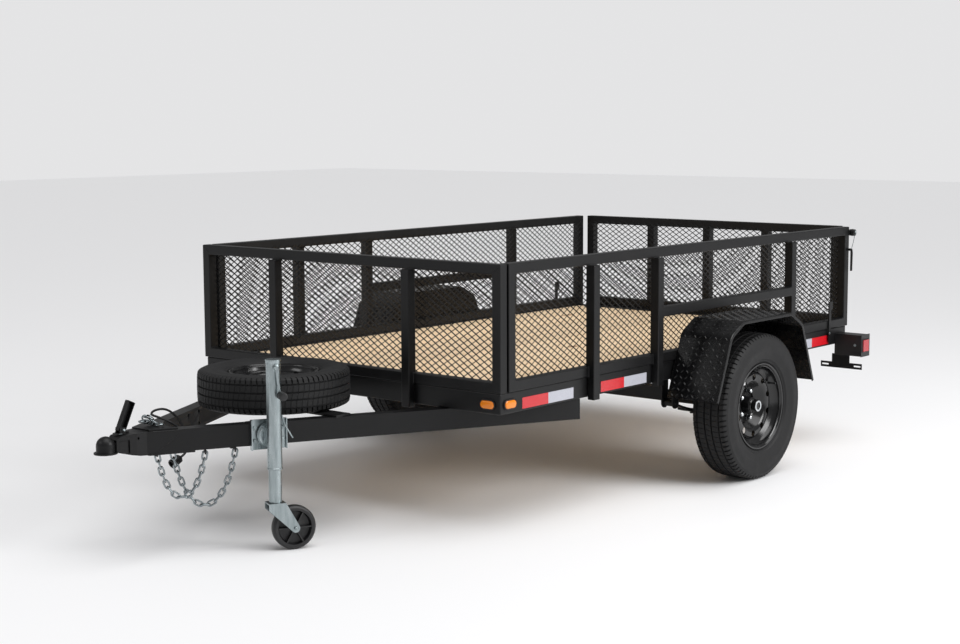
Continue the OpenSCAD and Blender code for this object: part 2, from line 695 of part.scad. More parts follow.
module caster_wheel() color(gloss)
    at_jack() translate([jack_off, caster_trail, caster_r]) difference() {
        rotate([0, 90, 0]) rotate_extrude($fn = 72)
            polygon([[caster_pin_r + fit, -caster_w / 2 - 2], [18, -caster_w / 2 - 2], [20, -5], [caster_r - 20, -5],
                     [caster_r - 18, -caster_w / 2 + 2], [caster_r - 6, -caster_w / 2 + 2], [caster_r, -caster_w / 2 + 9],
                     [caster_r, caster_w / 2 - 9], [caster_r - 6, caster_w / 2 - 2], [caster_r - 18, caster_w / 2 - 2],
                     [caster_r - 20, 5], [20, 5], [18, caster_w / 2 + 2], [caster_pin_r + fit, caster_w / 2 + 2]]);
    }

// ---- Lights, plate bracket and gate fittings ----

module light_boxes() color(gloss)
    both_sides() translate([frame_x, box_y0, box_z0]) difference() {
        union() {
            cube([box_w, box_d, box_h]);
            translate([box_w - 3, 0, -2]) cube([3, box_d + 6, box_h + 4]);
        }
        translate([4, 4, 4]) cube([box_w - 8, box_d, box_h - 8]);
    }

module tail_lenses() color(red)
    both_sides() translate([frame_x, box_y0, box_z0]) {
        translate([4 + seat, box_d - 26, 4 + seat]) cube([box_w - 8 - 2 * seat, 24, box_h - 8 - 2 * seat]);
        translate([box_w + seat, 12, 22]) cube([5, 50, box_h - 44]);
    }

// An oval marker lamp whose back lies on a face that looks along +X
module oval_lamp() {
    rotate([90, 0, 90]) linear_extrude(9) union() {
        translate([-16, 0]) circle(r = 19);
        translate([16, 0]) circle(r = 19);
        translate([-16, -19]) square([32, 38]);
    }
}
lamp_z = frame_z + 34;
module marker_lights() color(amber) {
    both_sides() translate([frame_x + seat, 57, lamp_z]) oval_lamp();
    both_sides() translate([half_w - 61, inset - seat, lamp_z]) rotate([0, 0, -90]) oval_lamp();
}

bar_y = box_y0 + 30;
module plate_bracket() color(gloss)
    difference() {
        union() {
            block([frame_x - 28, bar_y, box_z0 - 56], [frame_x + 60, bar_y + 3, box_z0]);
            block([frame_x - 84, bar_y, box_z0 - 64], [frame_x + 122, bar_y + 3, box_z0 - 38]);
            block([frame_x + 1, bar_y, box_z0 - 3], [frame_x + 60, bar_y + 24, box_z0]);
        }
        for (x = [frame_x + 19 - 80, frame_x + 19 + 80]) {
            block([x - 14, bar_y - 1, box_z0 - 54.5], [x + 14, bar_y + 4, box_z0 - 47.5]);
            rod_y([x - 14, bar_y - 1, box_z0 - 51], 3.5, 5);
            rod_y([x + 14, bar_y - 1, box_z0 - 51], 3.5, 5);
        }
    }

module gate_fittings() color(black) {
    // Hinge ears on the rear rail
    for (x = hinge_x, s = [-1, 1])
        translate([x + s * 21 - 4, 0, 0]) difference() {
            union() {
                block([0, frame_y1, hinge_z - 10], [8, hinge_y, hinge_z + 6]);
                rod_x([0, hinge_y, hinge_z], 11, 8);
            }
            rod_x([-1, hinge_y, hinge_z], hinge_r + fit, 10);
        }
    // Flat levers beside the rear posts
    both_sides() translate([half_w, bed_l - 170, 0]) {
        block([seat, -14, frame_top - 60], [6, 6, frame_top + 92]);
        block([seat, -14, frame_top + 88], [6, 18, frame_top + 124]);
    }
    // Latch pins and handles behind the rear posts
    both_sides() {
        rod_x([half_w - 6, bed_l + 16, wall_top - 27], 15, 26);
        block([half_w - 6, bed_l, wall_top - 39], [half_w, bed_l + 16, wall_top - 15]);
        rod_x([half_w, bed_l - 6, wall_top - 104], 5, 16);
        translate([half_w + 16, bed_l - 6, wall_top - 104]) sphere(r = 5);
        rod_z([half_w + 16, bed_l - 6, wall_top - 200], 5, 96);
    }
}

// ---- Tailgate ----

module swing() {
    translate([0, hinge_y, hinge_z]) rotate([-gate_angle, 0, 0]) translate([0, -hinge_y, -hinge_z]) children();
}
module tailgate() color(black)
    swing() {
        ring_xz(gate_y0, -gate_w / 2, gate_w / 2, gate_z0, wall_top);
        for (x = gate_upright_x)
            block([x - tube / 2, gate_y0, gate_z0 + 1], [x + tube / 2, gate_y0 + tube, wall_top - 1]);
        for (x = hinge_x) {
            rod_x([x - 15, hinge_y, hinge_z], knuckle_r, 30);
            rod_x([x - 30, hinge_y, hinge_z], hinge_r, 60);
            block([x - 15, gate_y0 + tube - 6, gate_z0 - 8], [x + 15, hinge_y + 6, gate_z0 + 10]);
            block([x - 15, hinge_y - 6, hinge_z], [x + 15, hinge_y + 6, gate_z0 + 10]);
        }
    }
module tailgate_mesh() color(gloss)
    swing() block([-gate_w / 2 + tube - mesh_lap, gate_y0 - mesh_t, gate_z0 + tube - mesh_lap],
                  [gate_w / 2 - tube + mesh_lap, gate_y0, wall_top - tube + mesh_lap]);

stand() main_frame();
stand() cross_members();
stand() deck_boards();
stand() front_panel();
stand() front_mesh();
stand() left_wall();
stand() left_mesh();
stand() right_wall();
stand() right_mesh();
stand() left_fender();
stand() right_fender();
stand() axle();
stand() leaf_springs();
stand() spring_hangers();
stand() spring_clamps();
stand() tongue_rails();
stand() tongue_plates();
stand() coupler();
stand() coupler_latch();
stand() safety_chains();
stand() chain_hooks();
stand() wiring_cable();
stand() wiring_plug();
stand() spare_carrier();
stand() spare_rim();
stand() spare_tyre();
stand() jack_mount();
stand() jack_tube();
stand() jack_crank();
stand() jack_inner();
stand() caster_fork();
stand() caster_wheel();
stand() light_boxes();
stand() tail_lenses();
stand() marker_lights();
stand() plate_bracket();
stand() gate_fittings();
stand() tailgate();
stand() tailgate_mesh();
stand() left_tyre();
stand() left_rim();
stand() left_hub();
stand() right_tyre();
stand() right_rim();
stand() right_hub();
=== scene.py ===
import math

import bmesh
import bpy
from mathutils import Matrix, Vector


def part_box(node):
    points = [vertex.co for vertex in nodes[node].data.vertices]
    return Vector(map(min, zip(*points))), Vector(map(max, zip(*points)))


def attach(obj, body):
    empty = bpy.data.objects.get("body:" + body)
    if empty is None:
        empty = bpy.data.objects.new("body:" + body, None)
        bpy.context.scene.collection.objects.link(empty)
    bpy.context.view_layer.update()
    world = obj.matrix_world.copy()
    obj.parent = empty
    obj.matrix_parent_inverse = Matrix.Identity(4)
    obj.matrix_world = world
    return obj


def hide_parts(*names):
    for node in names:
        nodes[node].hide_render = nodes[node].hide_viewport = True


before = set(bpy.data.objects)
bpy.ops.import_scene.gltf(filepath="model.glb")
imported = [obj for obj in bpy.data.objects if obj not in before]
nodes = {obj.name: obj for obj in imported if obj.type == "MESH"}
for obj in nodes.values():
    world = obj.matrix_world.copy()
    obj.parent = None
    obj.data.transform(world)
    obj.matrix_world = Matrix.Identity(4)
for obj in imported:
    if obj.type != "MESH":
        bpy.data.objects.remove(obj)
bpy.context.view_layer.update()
mm = 0.001


def spot(name, x=0.5, y=0.5, z=0.5):
    # a point in a node's box, as shares of its sides
    lo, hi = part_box(name)
    return Vector(lo[i] + (hi[i] - lo[i]) * (x, y, z)[i] for i in range(3))


frontY = spot("main_frame", y=0).y - 6 * mm      # the front panel's face is the zero of the bed's own scale


def bed(x, y, z):
    # millimetres from the front panel's face, on the centre line, above the floor
    return Vector((x * mm, frontY + y * mm, z * mm))


print("camera and light")

cameraSet = {"place": (4486, -4545, 1463), "turn": 39.95, "dip": 6.85, "roll": -0.24, "lens": 64.3}


def makeCamera(s):
    data = bpy.data.cameras.new("camera")
    data.lens = s["lens"]
    data.sensor_width = 36
    data.clip_end = 100
    camera = bpy.data.objects.new("camera", data)
    bpy.context.scene.collection.objects.link(camera)
    turn, dip = math.radians(s["turn"]), math.radians(s["dip"])
    look = Vector((-math.sin(turn) * math.cos(dip), math.cos(turn) * math.cos(dip), -math.sin(dip)))
    aim = look.to_track_quat("-Z", "Y").to_matrix().to_4x4()
    roll = Matrix.Rotation(math.radians(s["roll"]), 4, "Z")
    camera.matrix_world = Matrix.Translation(bed(*s["place"])) @ aim @ roll
    bpy.context.scene.camera = camera
    bpy.context.scene.view_settings.view_transform = "Standard"


makeCamera(cameraSet)

studioSet = {"floor": "#f0f0f1", "bank": 1.9, "bankSpread": 55,
             "sky": "#f4f4f5", "seen": 0.86, "fill": 0.36}


def linear(hexColour):
    # sRGB hex to linear, with alpha
    parts = [int(hexColour[i:i + 2], 16) / 255 for i in (1, 3, 5)]
    return tuple(c / 12.92 if c <= 0.04045 else ((c + 0.055) / 1.055) ** 2.4 for c in parts) + (1,)


def addNode(tree, kind, values=None, links=None, **settings):
    node = tree.nodes.new(kind)
    for key, value in settings.items():
        setattr(node, key, value)
    for key, value in (values or {}).items():
        node.inputs[key].default_value = value
    for key, socket in (links or {}).items():
        tree.links.new(socket, node.inputs[key])
    return node


def startMaterial(name, colour, roughness, metallic=0.0, **sockets):
    # a Principled surface with constants set on its own sockets
    material = bpy.data.materials.new(name)
    material.use_nodes = True
    shader = material.node_tree.nodes["Principled BSDF"]
    shader.inputs["Base Color"].default_value = linear(colour)
    shader.inputs["Roughness"].default_value = roughness
    shader.inputs["Metallic"].default_value = metallic
    for key, value in sockets.items():
        shader.inputs[key.replace("_", " ")].default_value = value
    return material, material.node_tree, shader


def makeFinish(name, s):
    # uneven colour and gloss in soft patches, over a fine grain that catches the light
    material, tree, shader = startMaterial(name, s["dark"], s["rough"][0], s.get("metallic", 0.0),
                                           **s.get("sockets", {}))
    coords = addNode(tree, "ShaderNodeTexCoord").outputs["Object"]
    place = addNode(tree, "ShaderNodeMapping", {"Scale": s.get("stretch", (1, 1, 1))},
                    {"Vector": coords}).outputs[0]
    patch = addNode(tree, "ShaderNodeTexNoise", {"Scale": 1 / (s["patch"] * mm), "Detail": 4.0,
                                                 "Roughness": 0.6}, {"Vector": place}).outputs["Fac"]
    share = addNode(tree, "ShaderNodeMapRange", {"From Min": 0.3, "From Max": 0.7},
                    {"Value": patch}).outputs[0]
    colour = addNode(tree, "ShaderNodeMix", {6: linear(s["dark"]), 7: linear(s["light"])}, {0: share},
                     data_type="RGBA").outputs[2]
    gloss = addNode(tree, "ShaderNodeMapRange", {"To Min": s["rough"][0], "To Max": s["rough"][1]},
                    {"Value": share}).outputs[0]
    grain = addNode(tree, "ShaderNodeTexNoise",
                    {"Scale": 1 / (s["grain"] * mm), "Detail": 1.5}, {"Vector": place})
    bump = addNode(tree, "ShaderNodeBump", {"Distance": s["depth"] * mm, "Strength": 0.5},
                   {"Height": grain.outputs["Fac"]}).outputs[0]
    for socket, output in (("Base Color", colour), ("Roughness", gloss), ("Normal", bump)):
        tree.links.new(output, shader.inputs[socket])
    return material


# polyester powder baked on steel: satin black with a fine orange peel
coatSet = {"dark": "#0a0a0b", "light": "#101011", "rough": (0.36, 0.46), "patch": 90,
           "grain": 2.2, "depth": 0.1, "sockets": {"IOR": 1.5, "Specular IOR Level": 0.3}}
blackCoat = makeFinish("black powder-coated steel", coatSet)
meshCoat = makeFinish("black powder-coated expanded metal",
                      {**coatSet, "dark": "#0b0b0c", "light": "#111112"})
# rolled tread plate with a thicker, glossier coat that pools round the lugs
fenderCoat = makeFinish("gloss powder-coated tread plate", {**coatSet, "rough": (0.2, 0.34), "patch": 30})
# wheel enamel: sprayed and stoved, nearly smooth
rimCoat = makeFinish("gloss black rim enamel", {**coatSet, "rough": (0.16, 0.24), "grain": 4, "depth": 0.04,
                                                "sockets": {"IOR": 1.5, "Specular IOR Level": 0.5}})
# electroplated zinc: cool silver, blotchy where the bath ran, with faint draw lines along the tube
zincSet = {"dark": "#8c9799", "light": "#a9b2b4", "rough": (0.36, 0.24), "metallic": 1.0,
           "patch": 14, "grain": 1.6, "depth": 0.08, "stretch": (1, 1, 0.15)}
zinc = makeFinish("zinc-plated steel", zincSet)
chainZinc = makeFinish("zinc-plated chain wire", {**zincSet, "dark": "#7d8588", "light": "#a9b0b3",
                                                  "patch": 8, "rough": (0.3, 0.2), "stretch": (1, 1, 1)})
# buffed nickel and chrome, almost a mirror, with light polishing haze
brightSteel = makeFinish("chromed steel",
                         {**zincSet, "dark": "#b9bdc0", "light": "#d4d7d9", "rough": (0.16, 0.08)})
# tyre rubber from a steel mould: nearly black and dull, with a bloom that greys it in patches
rubberSet = {"dark": "#0e0e0f", "light": "#171718", "rough": (0.58, 0.74), "patch": 50,
             "grain": 1.2, "depth": 0.15, "sockets": {"IOR": 1.52, "Specular IOR Level": 0.35}}
tyreRubber = makeFinish("vulcanised tyre rubber", rubberSet)
cableRubber = makeFinish("cable rubber", {**rubberSet, "dark": "#0f0f10",
                                          "light": "#171718", "rough": (0.4, 0.5)})
# injection-moulded ABS and nylon with a fine spark-eroded grain
absSet = {"dark": "#101011", "light": "#151517", "rough": (0.36, 0.46),
          "patch": 25, "grain": 1.5, "depth": 0.08, "sockets": {"IOR": 1.54}}
blackAbs = makeFinish("moulded black ABS", absSet)
wheelNylon = makeFinish("moulded black nylon", {**absSet, "rough": (0.42, 0.52)})


def makeLampAcrylic(name, dark, light):
    # tinted acrylic, moulded with flutes 4 mm apart on the inside and polished outside
    material, tree, shader = startMaterial(name, light, 0.14, IOR=1.49,
                                           Coat_Weight=0.4, Coat_Roughness=0.05)
    coords = addNode(tree, "ShaderNodeTexCoord").outputs["Object"]
    flutes = addNode(tree, "ShaderNodeTexWave", {"Scale": 78.0, "Distortion": 0.0}, {"Vector": coords},
                     bands_direction="DIAGONAL").outputs["Fac"]
    colour = addNode(tree, "ShaderNodeMix", {6: linear(dark), 7: linear(light)},
                     {0: flutes}, data_type="RGBA")
    bump = addNode(tree, "ShaderNodeBump", {"Distance": 0.4 * mm, "Strength": 0.5}, {"Height": flutes})
    tree.links.new(colour.outputs[2], shader.inputs["Base Color"])
    tree.links.new(bump.outputs[0], shader.inputs["Normal"])
    return material


def makeTapeFilm(name, dark, light):
    # prismatic tape: cells 4 mm across, welded in a honeycomb between two films
    material, tree, shader = startMaterial(name, light, 0.25, IOR=1.5, Coat_Weight=0.3, Coat_Roughness=0.1)
    coords = addNode(tree, "ShaderNodeTexCoord").outputs["Object"]
    cells = addNode(tree, "ShaderNodeTexVoronoi", {"Scale": 1 / (4 * mm), "Randomness": 0.15},
                    {"Vector": coords}, feature="DISTANCE_TO_EDGE").outputs["Distance"]
    seam = addNode(tree, "ShaderNodeMapRange", {"From Min": 0.03, "From Max": 0.12},
                   {"Value": cells}).outputs[0]
    colour = addNode(tree, "ShaderNodeMix", {6: linear(dark), 7: linear(light)},
                     {0: seam}, data_type="RGBA")
    bump = addNode(tree, "ShaderNodeBump", {"Distance": 0.1 * mm, "Strength": 0.6}, {"Height": seam})
    tree.links.new(colour.outputs[2], shader.inputs["Base Color"])
    tree.links.new(bump.outputs[0], shader.inputs["Normal"])
    return material


pineSet = {"early": "#f2dcbc", "late": "#e0bf94", "knot": "#8a5c34", "knotApart": 330, "fibre": 3.5}


def makePine(s):
    # sawn planks: each board has its own tone, growth rings run lengthwise, with a few dark knots
    material, tree, shader = startMaterial("sawn pine", s["early"], 0.62, IOR=1.5)
    island = addNode(tree, "ShaderNodeNewGeometry").outputs["Random Per Island"]
    coords = addNode(tree, "ShaderNodeTexCoord").outputs["Object"]
    apart = addNode(tree, "ShaderNodeMath", {1: 13.0}, {0: island}, operation="MULTIPLY").outputs[0]
    shift = addNode(tree, "ShaderNodeCombineXYZ", {}, {"X": island, "Y": apart}).outputs[0]
    moved = addNode(tree, "ShaderNodeVectorMath", {}, {0: coords, 1: shift}).outputs[0]
    along = addNode(tree, "ShaderNodeMapping", {"Scale": (1, 0.05, 1)}, {"Vector": moved}).outputs[0]
    rings = addNode(tree, "ShaderNodeTexWave", {"Scale": 42.0, "Distortion": 7.0, "Detail": 3.0,
                                                "Detail Scale": 1.4}, {"Vector": along}).outputs["Fac"]
    fine = addNode(tree, "ShaderNodeMapping", {"Scale": (1, 0.02, 1)}, {"Vector": moved}).outputs[0]
    fibres = addNode(tree, "ShaderNodeTexNoise",
                     {"Scale": 1 / (s["fibre"] * mm), "Detail": 4.0}, {"Vector": fine})
    tone = addNode(tree, "ShaderNodeMix", {6: linear(s["late"]), 7: linear(s["early"])}, {0: rings},
                   data_type="RGBA").outputs[2]
    value = addNode(tree, "ShaderNodeMapRange", {"To Min": 0.9, "To Max": 1.08},
                    {"Value": island}).outputs[0]
    board = addNode(tree, "ShaderNodeHueSaturation", {}, {"Value": value, "Color": tone}).outputs[0]
    wide = addNode(tree, "ShaderNodeMapping", {"Scale": (1.6, 0.7, 0.1)}, {"Vector": moved}).outputs[0]
    spots = addNode(tree, "ShaderNodeTexVoronoi", {"Scale": 1 / (s["knotApart"] * mm)}, {"Vector": wide})
    eye = addNode(tree, "ShaderNodeMapRange", {"From Min": 0.06, "From Max": 0.1},
                  {"Value": spots.outputs["Distance"]}).outputs[0]
    colour = addNode(tree, "ShaderNodeMix", {6: linear(s["knot"])},
                     {0: eye, 7: board}, data_type="RGBA").outputs[2]
    bump = addNode(tree, "ShaderNodeBump", {"Distance": 0.6 * mm, "Strength": 0.5},
                   {"Height": fibres.outputs["Fac"]}).outputs[0]
    tree.links.new(colour, shader.inputs["Base Color"])
    tree.links.new(bump, shader.inputs["Normal"])
    return material


redAcrylic = makeLampAcrylic("red lamp acrylic", "#8a0d18", "#c02632")
amberAcrylic = makeLampAcrylic("amber lamp acrylic", "#d76a04", "#f79216")
redTape = makeTapeFilm("red prismatic tape", "#a80d17", "#c9131f")
whiteTape = makeTapeFilm("white prismatic tape", "#93959e", "#b6b7c0")
pine = makePine(pineSet)


def makeStudio(s):
    bpy.ops.mesh.primitive_plane_add(size=60, location=(0, 0, 0))
    floor = bpy.context.object
    floor.name = "studio_floor"
    floor.data.materials.append(startMaterial("studio floor", s["floor"], 0.55)[0])
    world = bpy.data.worlds.new("studio")
    world.use_nodes = True
    tree = world.node_tree
    back = tree.nodes["Background"]
    back.inputs["Color"].default_value = linear(s["sky"])
    # the pale wall is seen brighter than the light it gives
    direct = addNode(tree, "ShaderNodeLightPath").outputs["Is Camera Ray"]
    power = addNode(tree, "ShaderNodeMapRange",
                    {"To Min": s["fill"], "To Max": s["seen"]}, {"Value": direct})
    tree.links.new(power.outputs[0], back.inputs["Strength"])
    bpy.context.scene.world = world
    # name, place and target in bed millimetres, width, height, watts
    for name, place, target, wide, high, watts in (
            ("key_softbox", (5600, 2200, 3200), (300, 900, 500), 3.2, 2.4, 230),
            ("front_softbox", (-2600, -5200, 3800), (0, -300, 500), 3.0, 1.6, 50)):
        data = bpy.data.lights.new(name, "AREA")
        data.shape = "RECTANGLE"
        data.size, data.size_y, data.energy = wide, high, watts
        aimLamp(data, name, bed(*place), bed(*target))
    # a wide overhead bank, even over the whole floor
    bank = bpy.data.lights.new("overhead_bank", "SUN")
    bank.energy, bank.angle = s["bank"], math.radians(s["bankSpread"])
    aimLamp(bank, "overhead_bank", bed(1500, 1300, 5000), bed(0, 900, 0))


def aimLamp(data, name, place, target):
    lamp = bpy.data.objects.new(name, data)
    bpy.context.scene.collection.objects.link(lamp)
    aim = (target - place).to_track_quat("-Z", "Y").to_matrix().to_4x4()
    lamp.matrix_world = Matrix.Translation(place) @ aim


makeStudio(studioSet)


class Shape:
    # collects many small solids into one mesh: points in metres, radii and profiles in millimetres

    def __init__(self):
        self.points, self.faces = [], []

    def add(self, points, faces, place=None):
        base = len(self.points)
        self.points += [place @ Vector(p) if place else Vector(p) for p in points]
        self.faces += [[base + i for i in f] for f in faces]
        return self

    def block(self, low, high):
        (a, b, c), (d, e, f) = low, high
        points = [(a, b, c), (d, b, c), (d, e, c), (a, e, c), (a, b, f), (d, b, f), (d, e, f), (a, e, f)]
        faces = [(0, 3, 2, 1), (4, 5, 6, 7), (0, 1, 5, 4), (1, 2, 6, 5), (2, 3, 7, 6), (3, 0, 4, 7)]
        return self.add(points, faces)

    def skin(self, rings, place=None, ends=True):
        # rings with the same number of points, joined up and closed at both ends
        n, last = len(rings[0]), len(rings) - 1
        faces = [(i * n + k, i * n + (k + 1) % n, (i + 1) * n + (k + 1) % n, (i + 1) * n + k)
                 for i in range(last) for k in range(n)]
        if ends:
            faces += [list(reversed(range(n))), [last * n + k for k in range(n)]]
        return self.add([p for ring in rings for p in ring], faces, place)

    def lathe(self, profile, place, sides=24, closed=False):
        # profile is (along the axis, radius), turned about local Z
        points, faces, n = [], [], len(profile)
        for k in range(sides):
            angle = 2 * math.pi * k / sides
            points += [(r * mm * math.cos(angle), r * mm * math.sin(angle), h * mm) for h, r in profile]
        for k in range(sides):
            a, b = k * n, (k + 1) % sides * n
            for i in range(n if closed else n - 1):
                j = (i + 1) % n
                faces.append((a + i, b + i, b + j, a + j))
        if not closed:
            faces += [[k * n for k in range(sides)], [k * n + n - 1 for k in reversed(range(sides))]]
        return self.add(points, faces, place)

    def rod(self, start, end, radius, sides=16):
        # a straight bar with slightly rounded ends
        start, end = Vector(start), Vector(end)
        length, soft = (end - start).length / mm, radius * 0.15
        profile = [(0, radius - soft), (soft, radius), (length - soft, radius), (length, radius - soft)]
        return self.lathe(profile, facing(start, end - start), sides)

    def hexBolt(self, place, size, length=0.0):
        # a hexagon head on a washer, pointing along local Z
        self.lathe([(0, size * 1.15), (size * 0.16, size * 1.15)], place, 20)
        self.lathe([(0, size * 0.98), (size * 0.72, size * 0.98), (size * 0.82, size * 0.86)], place, 6)
        if length:
            self.lathe([(0, size * 0.5), (length, size * 0.5), (length + 1, size * 0.4)], place, 12)
        return self

    def tube(self, path, radius, sides=10, ends=True):
        # a round bar swept along points, with its side direction carried along so that it doesn't twist
        path = [Vector(p) for p in path]
        side, rings, n = None, [], len(path)
        for i, p in enumerate(path):
            way = (path[min(i + 1, n - 1)] - path[max(i - 1, 0)]).normalized()
            side = (side - way * side.dot(way)).normalized() if side else way.orthogonal().normalized()
            other = way.cross(side)
            r = (radius(i / (n - 1)) if callable(radius) else radius) * mm
            rings.append([p + r * (math.cos(a) * side + math.sin(a) * other)
                          for a in (2 * math.pi * k / sides for k in range(sides))])
        return self.skin(rings, ends=ends)

    def piece(self, name, body, material, slot, smooth=None, bevel=0.0):
        mesh = bpy.data.meshes.new(name)
        mesh.from_pydata([tuple(p) for p in self.points], [], self.faces)
        return finishPiece(mesh, name, body, material, smooth, bevel)


def finishPiece(mesh, name, body, material, smooth=None, bevel=0.0):
    bm = bmesh.new()
    bm.from_mesh(mesh)
    bmesh.ops.recalc_face_normals(bm, faces=bm.faces)
    if bevel:
        sharp = [e for e in bm.edges if len(e.link_faces) == 2 and e.calc_face_angle() > math.radians(35)]
        bmesh.ops.bevel(bm, geom=sharp, offset=bevel * mm, segments=2,
                        profile=0.5, affect="EDGES", clamp_overlap=True)
    if smooth:
        for face in bm.faces:
            face.smooth = True
        for edge in bm.edges:
            edge.smooth = len(edge.link_faces) == 2 and edge.calc_face_angle() < math.radians(smooth)
    bm.to_mesh(mesh)
    bm.free()
    mesh.materials.clear()
    mesh.materials.append(material)
    made = bpy.data.objects.new(name, mesh)
    bpy.context.scene.collection.objects.link(made)
    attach(made, body)
    return made


def softenNode(node, body, material, radius):
    # the same solid with the rounded edges of rolled tube or sawn board
    bm = bmesh.new()
    bm.from_mesh(nodes[node].data)
    bmesh.ops.remove_doubles(bm, verts=bm.verts, dist=2e-6)
    bmesh.ops.dissolve_limit(bm, angle_limit=math.radians(0.6), verts=bm.verts, edges=bm.edges)
    mesh = bpy.data.meshes.new(node + "_soft")
    bm.to_mesh(mesh)
    bm.free()
    made = finishPiece(mesh, node + "_rounded", body, material, None, radius)
    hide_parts(node)
    return made


def coatNode(node, material):
    # a finish for a solid that shows as it is
    nodes[node].data.materials.clear()
    nodes[node].data.materials.append(material)


def facing(point, direction):
    # a frame at a point whose Z looks along a direction
    return Matrix.Translation(point) @ Vector(direction).to_track_quat("Z", "Y").to_matrix().to_4x4()


def around(place, angle, reach, rise=0.0):
    # the frame turned about its own Z, then moved out and up, in millimetres
    return place @ Matrix.Rotation(angle, 4, "Z") @ Matrix.Translation((reach * mm, 0, rise * mm))


def arc(start, step, count):
    # evenly spaced angles, given in degrees
    return [math.radians(start + step * k) for k in range(count)]


def smoothRoute(points, steps=3):
    # a smooth curve through all the points
    out, n = [], len(points)
    for i in range(n - 1):
        a, b = points[max(i - 1, 0)], points[i]
        c, d = points[i + 1], points[min(i + 2, n - 1)]
        for k in range(steps):
            t = k / steps
            out.append(0.5 * (2 * b + (c - a) * t + (2 * a - 5 * b + 4 * c - d) * t * t
                              + (3 * b - a - 3 * c + d) * t ** 3))
    return out + [points[-1]]


print("cable")

cableSet = {"radius": 4, "path": [
    (66, -800, 396), (54, -796, 398), (42, -806, 408), (32, -830, 430), (24, -860, 450),
    (12, -888, 464), (-4, -900, 472), (-18, -888, 478), (-24, -862, 482), (-24, -832, 480),
    (-24, -802, 466), (-24, -774, 440), (-24, -750, 405), (-24, -736, 370), (-24, -732, 340),
    (-24, -744, 316), (-24, -764, 304)]}


def makeCable(s):
    route = smoothRoute([bed(*p) for p in s["path"]], 4)
    cable = Shape().tube(route, s["radius"], 14).piece("cable_sheath", "root", cableRubber, "plastic", 60)
    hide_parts("wiring_cable")
    # a moulded four-way plug: collar, gripping ribs and a hooded mouth
    place = facing(route[-1], (route[-1] - route[-3]).normalized())
    ribs = [(0, 5), (2, 8), (6, 12)]
    for i in range(4):
        ribs += [(8 + 4 * i, 15), (10 + 4 * i, 15), (10.6 + 4 * i, 13.6), (11.4 + 4 * i, 13.6)]
    ribs += [(26, 16), (29, 17), (44, 17), (46, 16), (46, 12.5), (26, 12)]
    plug = Shape().lathe(ribs, place, 28)
    for k in range(4):
        plug.lathe([(0, 1.6), (14, 1.6), (15, 1)], around(place, math.pi / 2 * k, 5, 25), 10)
    plug = plug.piece("cable_plug", "root", cableRubber, "plastic", 40)
    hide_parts("wiring_plug")
    grommet = Shape().lathe([(-2, 4.5), (-2, 8), (3, 7.5), (4, 4.5)], facing(route[0], route[1] - route[0]),
                            20, closed=True)
    grommet.piece("cable_grommet", "root", cableRubber, "plastic", 50)


makeCable(cableSet)


print("frame and panels")

# edge radius of each, in millimetres
tubeRadius = {"front_panel": 4, "left_wall": 4, "right_wall": 4, "main_frame": 5, "tongue_rails": 6,
              "cross_members": 2, "spring_hangers": 1.5, "tongue_plates": 1,
              "spare_carrier": 1.2, "coupler": 2.2, "coupler_latch": 1}
for node, radius in tubeRadius.items():
    softenNode(node, "root", blackCoat, radius)
softenNode("tailgate", "tailgate", blackCoat, 4)
softenNode("deck_boards", "root", pine, 2.5)
softenNode("light_boxes", "root", blackAbs, 2)
softenNode("gate_fittings", "root", blackCoat, 1)

sheetSet = {"long": 38 * mm, "short": 24 * mm, "strand": 3.4 * mm, "lean": 1.1 * mm, "thick": 1.3 * mm}


def expandedSheet(node, body, s, across):
    # slit and stretched sheet: diamonds lie lengthwise and every strand leans through the sheet's thickness
    low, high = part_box(node)
    depthAxis = 1 if across == 0 else 0
    middle = (low[depthAxis] + high[depthAxis]) / 2
    columns = int((high[across] - low[across]) / (s["long"] / 2))
    rows = int((high[2] - low[2]) / (s["short"] / 2))
    shape = Shape()
    startA = (low[across] + high[across] - columns * s["long"] / 2) / 2
    startZ = (low[2] + high[2] - rows * s["short"] / 2) / 2

    def at(a, z, d):
        point = [0, 0, z]
        point[across], point[depthAxis] = a, middle + d
        return point

    for i in range(columns):
        for j in range(rows + 1):
            if (i + j) % 2:
                continue
            for up in (-1, 1):
                if not 0 <= j + up <= rows:
                    continue
                a0, z0 = startA + i * s["long"] / 2, startZ + j * s["short"] / 2
                a1, z1 = a0 + s["long"] / 2, z0 + up * s["short"] / 2
                size = math.hypot(a1 - a0, z1 - z0)
                na, nz = -(z1 - z0) / size * s["strand"] / 2, (a1 - a0) / size * s["strand"] / 2
                lean, thick = s["lean"] / 2, s["thick"] / 2
                points = []
                for a, z in ((a0, z0), (a1, z1)):
                    points += [at(a + na, z + nz, lean + thick), at(a + na, z + nz, lean - thick),
                               at(a - na, z - nz, -lean - thick), at(a - na, z - nz, -lean + thick)]
                shape.add(points, [(0, 1, 5, 4), (1, 2, 6, 5), (2, 3, 7, 6), (3, 0, 4, 7)])
    made = shape.piece(node + "_strands", body, meshCoat, "mesh")
    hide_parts(node)


for node, body, across in (("front_mesh", "root", 0), ("left_mesh", "root", 1), ("right_mesh", "root", 1),
                           ("tailgate_mesh", "tailgate", 0)):
    expandedSheet(node, body, sheetSet, across)


def weldBead(shape, start, end, radius):
    # a run of overlapping ripples, one each 3 mm, tapered at both ends
    start, end = Vector(start), Vector(end)
    count = max(4, int((end - start).length / (1.5 * mm)))
    path = [start.lerp(end, i / count) for i in range(count + 1)]
    shape.tube(path, lambda t: radius * (0.78 + 0.22 * abs(math.cos(t * count * math.pi / 2)))
               * min(1, 0.4 + 6 * min(t, 1 - t)), 8)


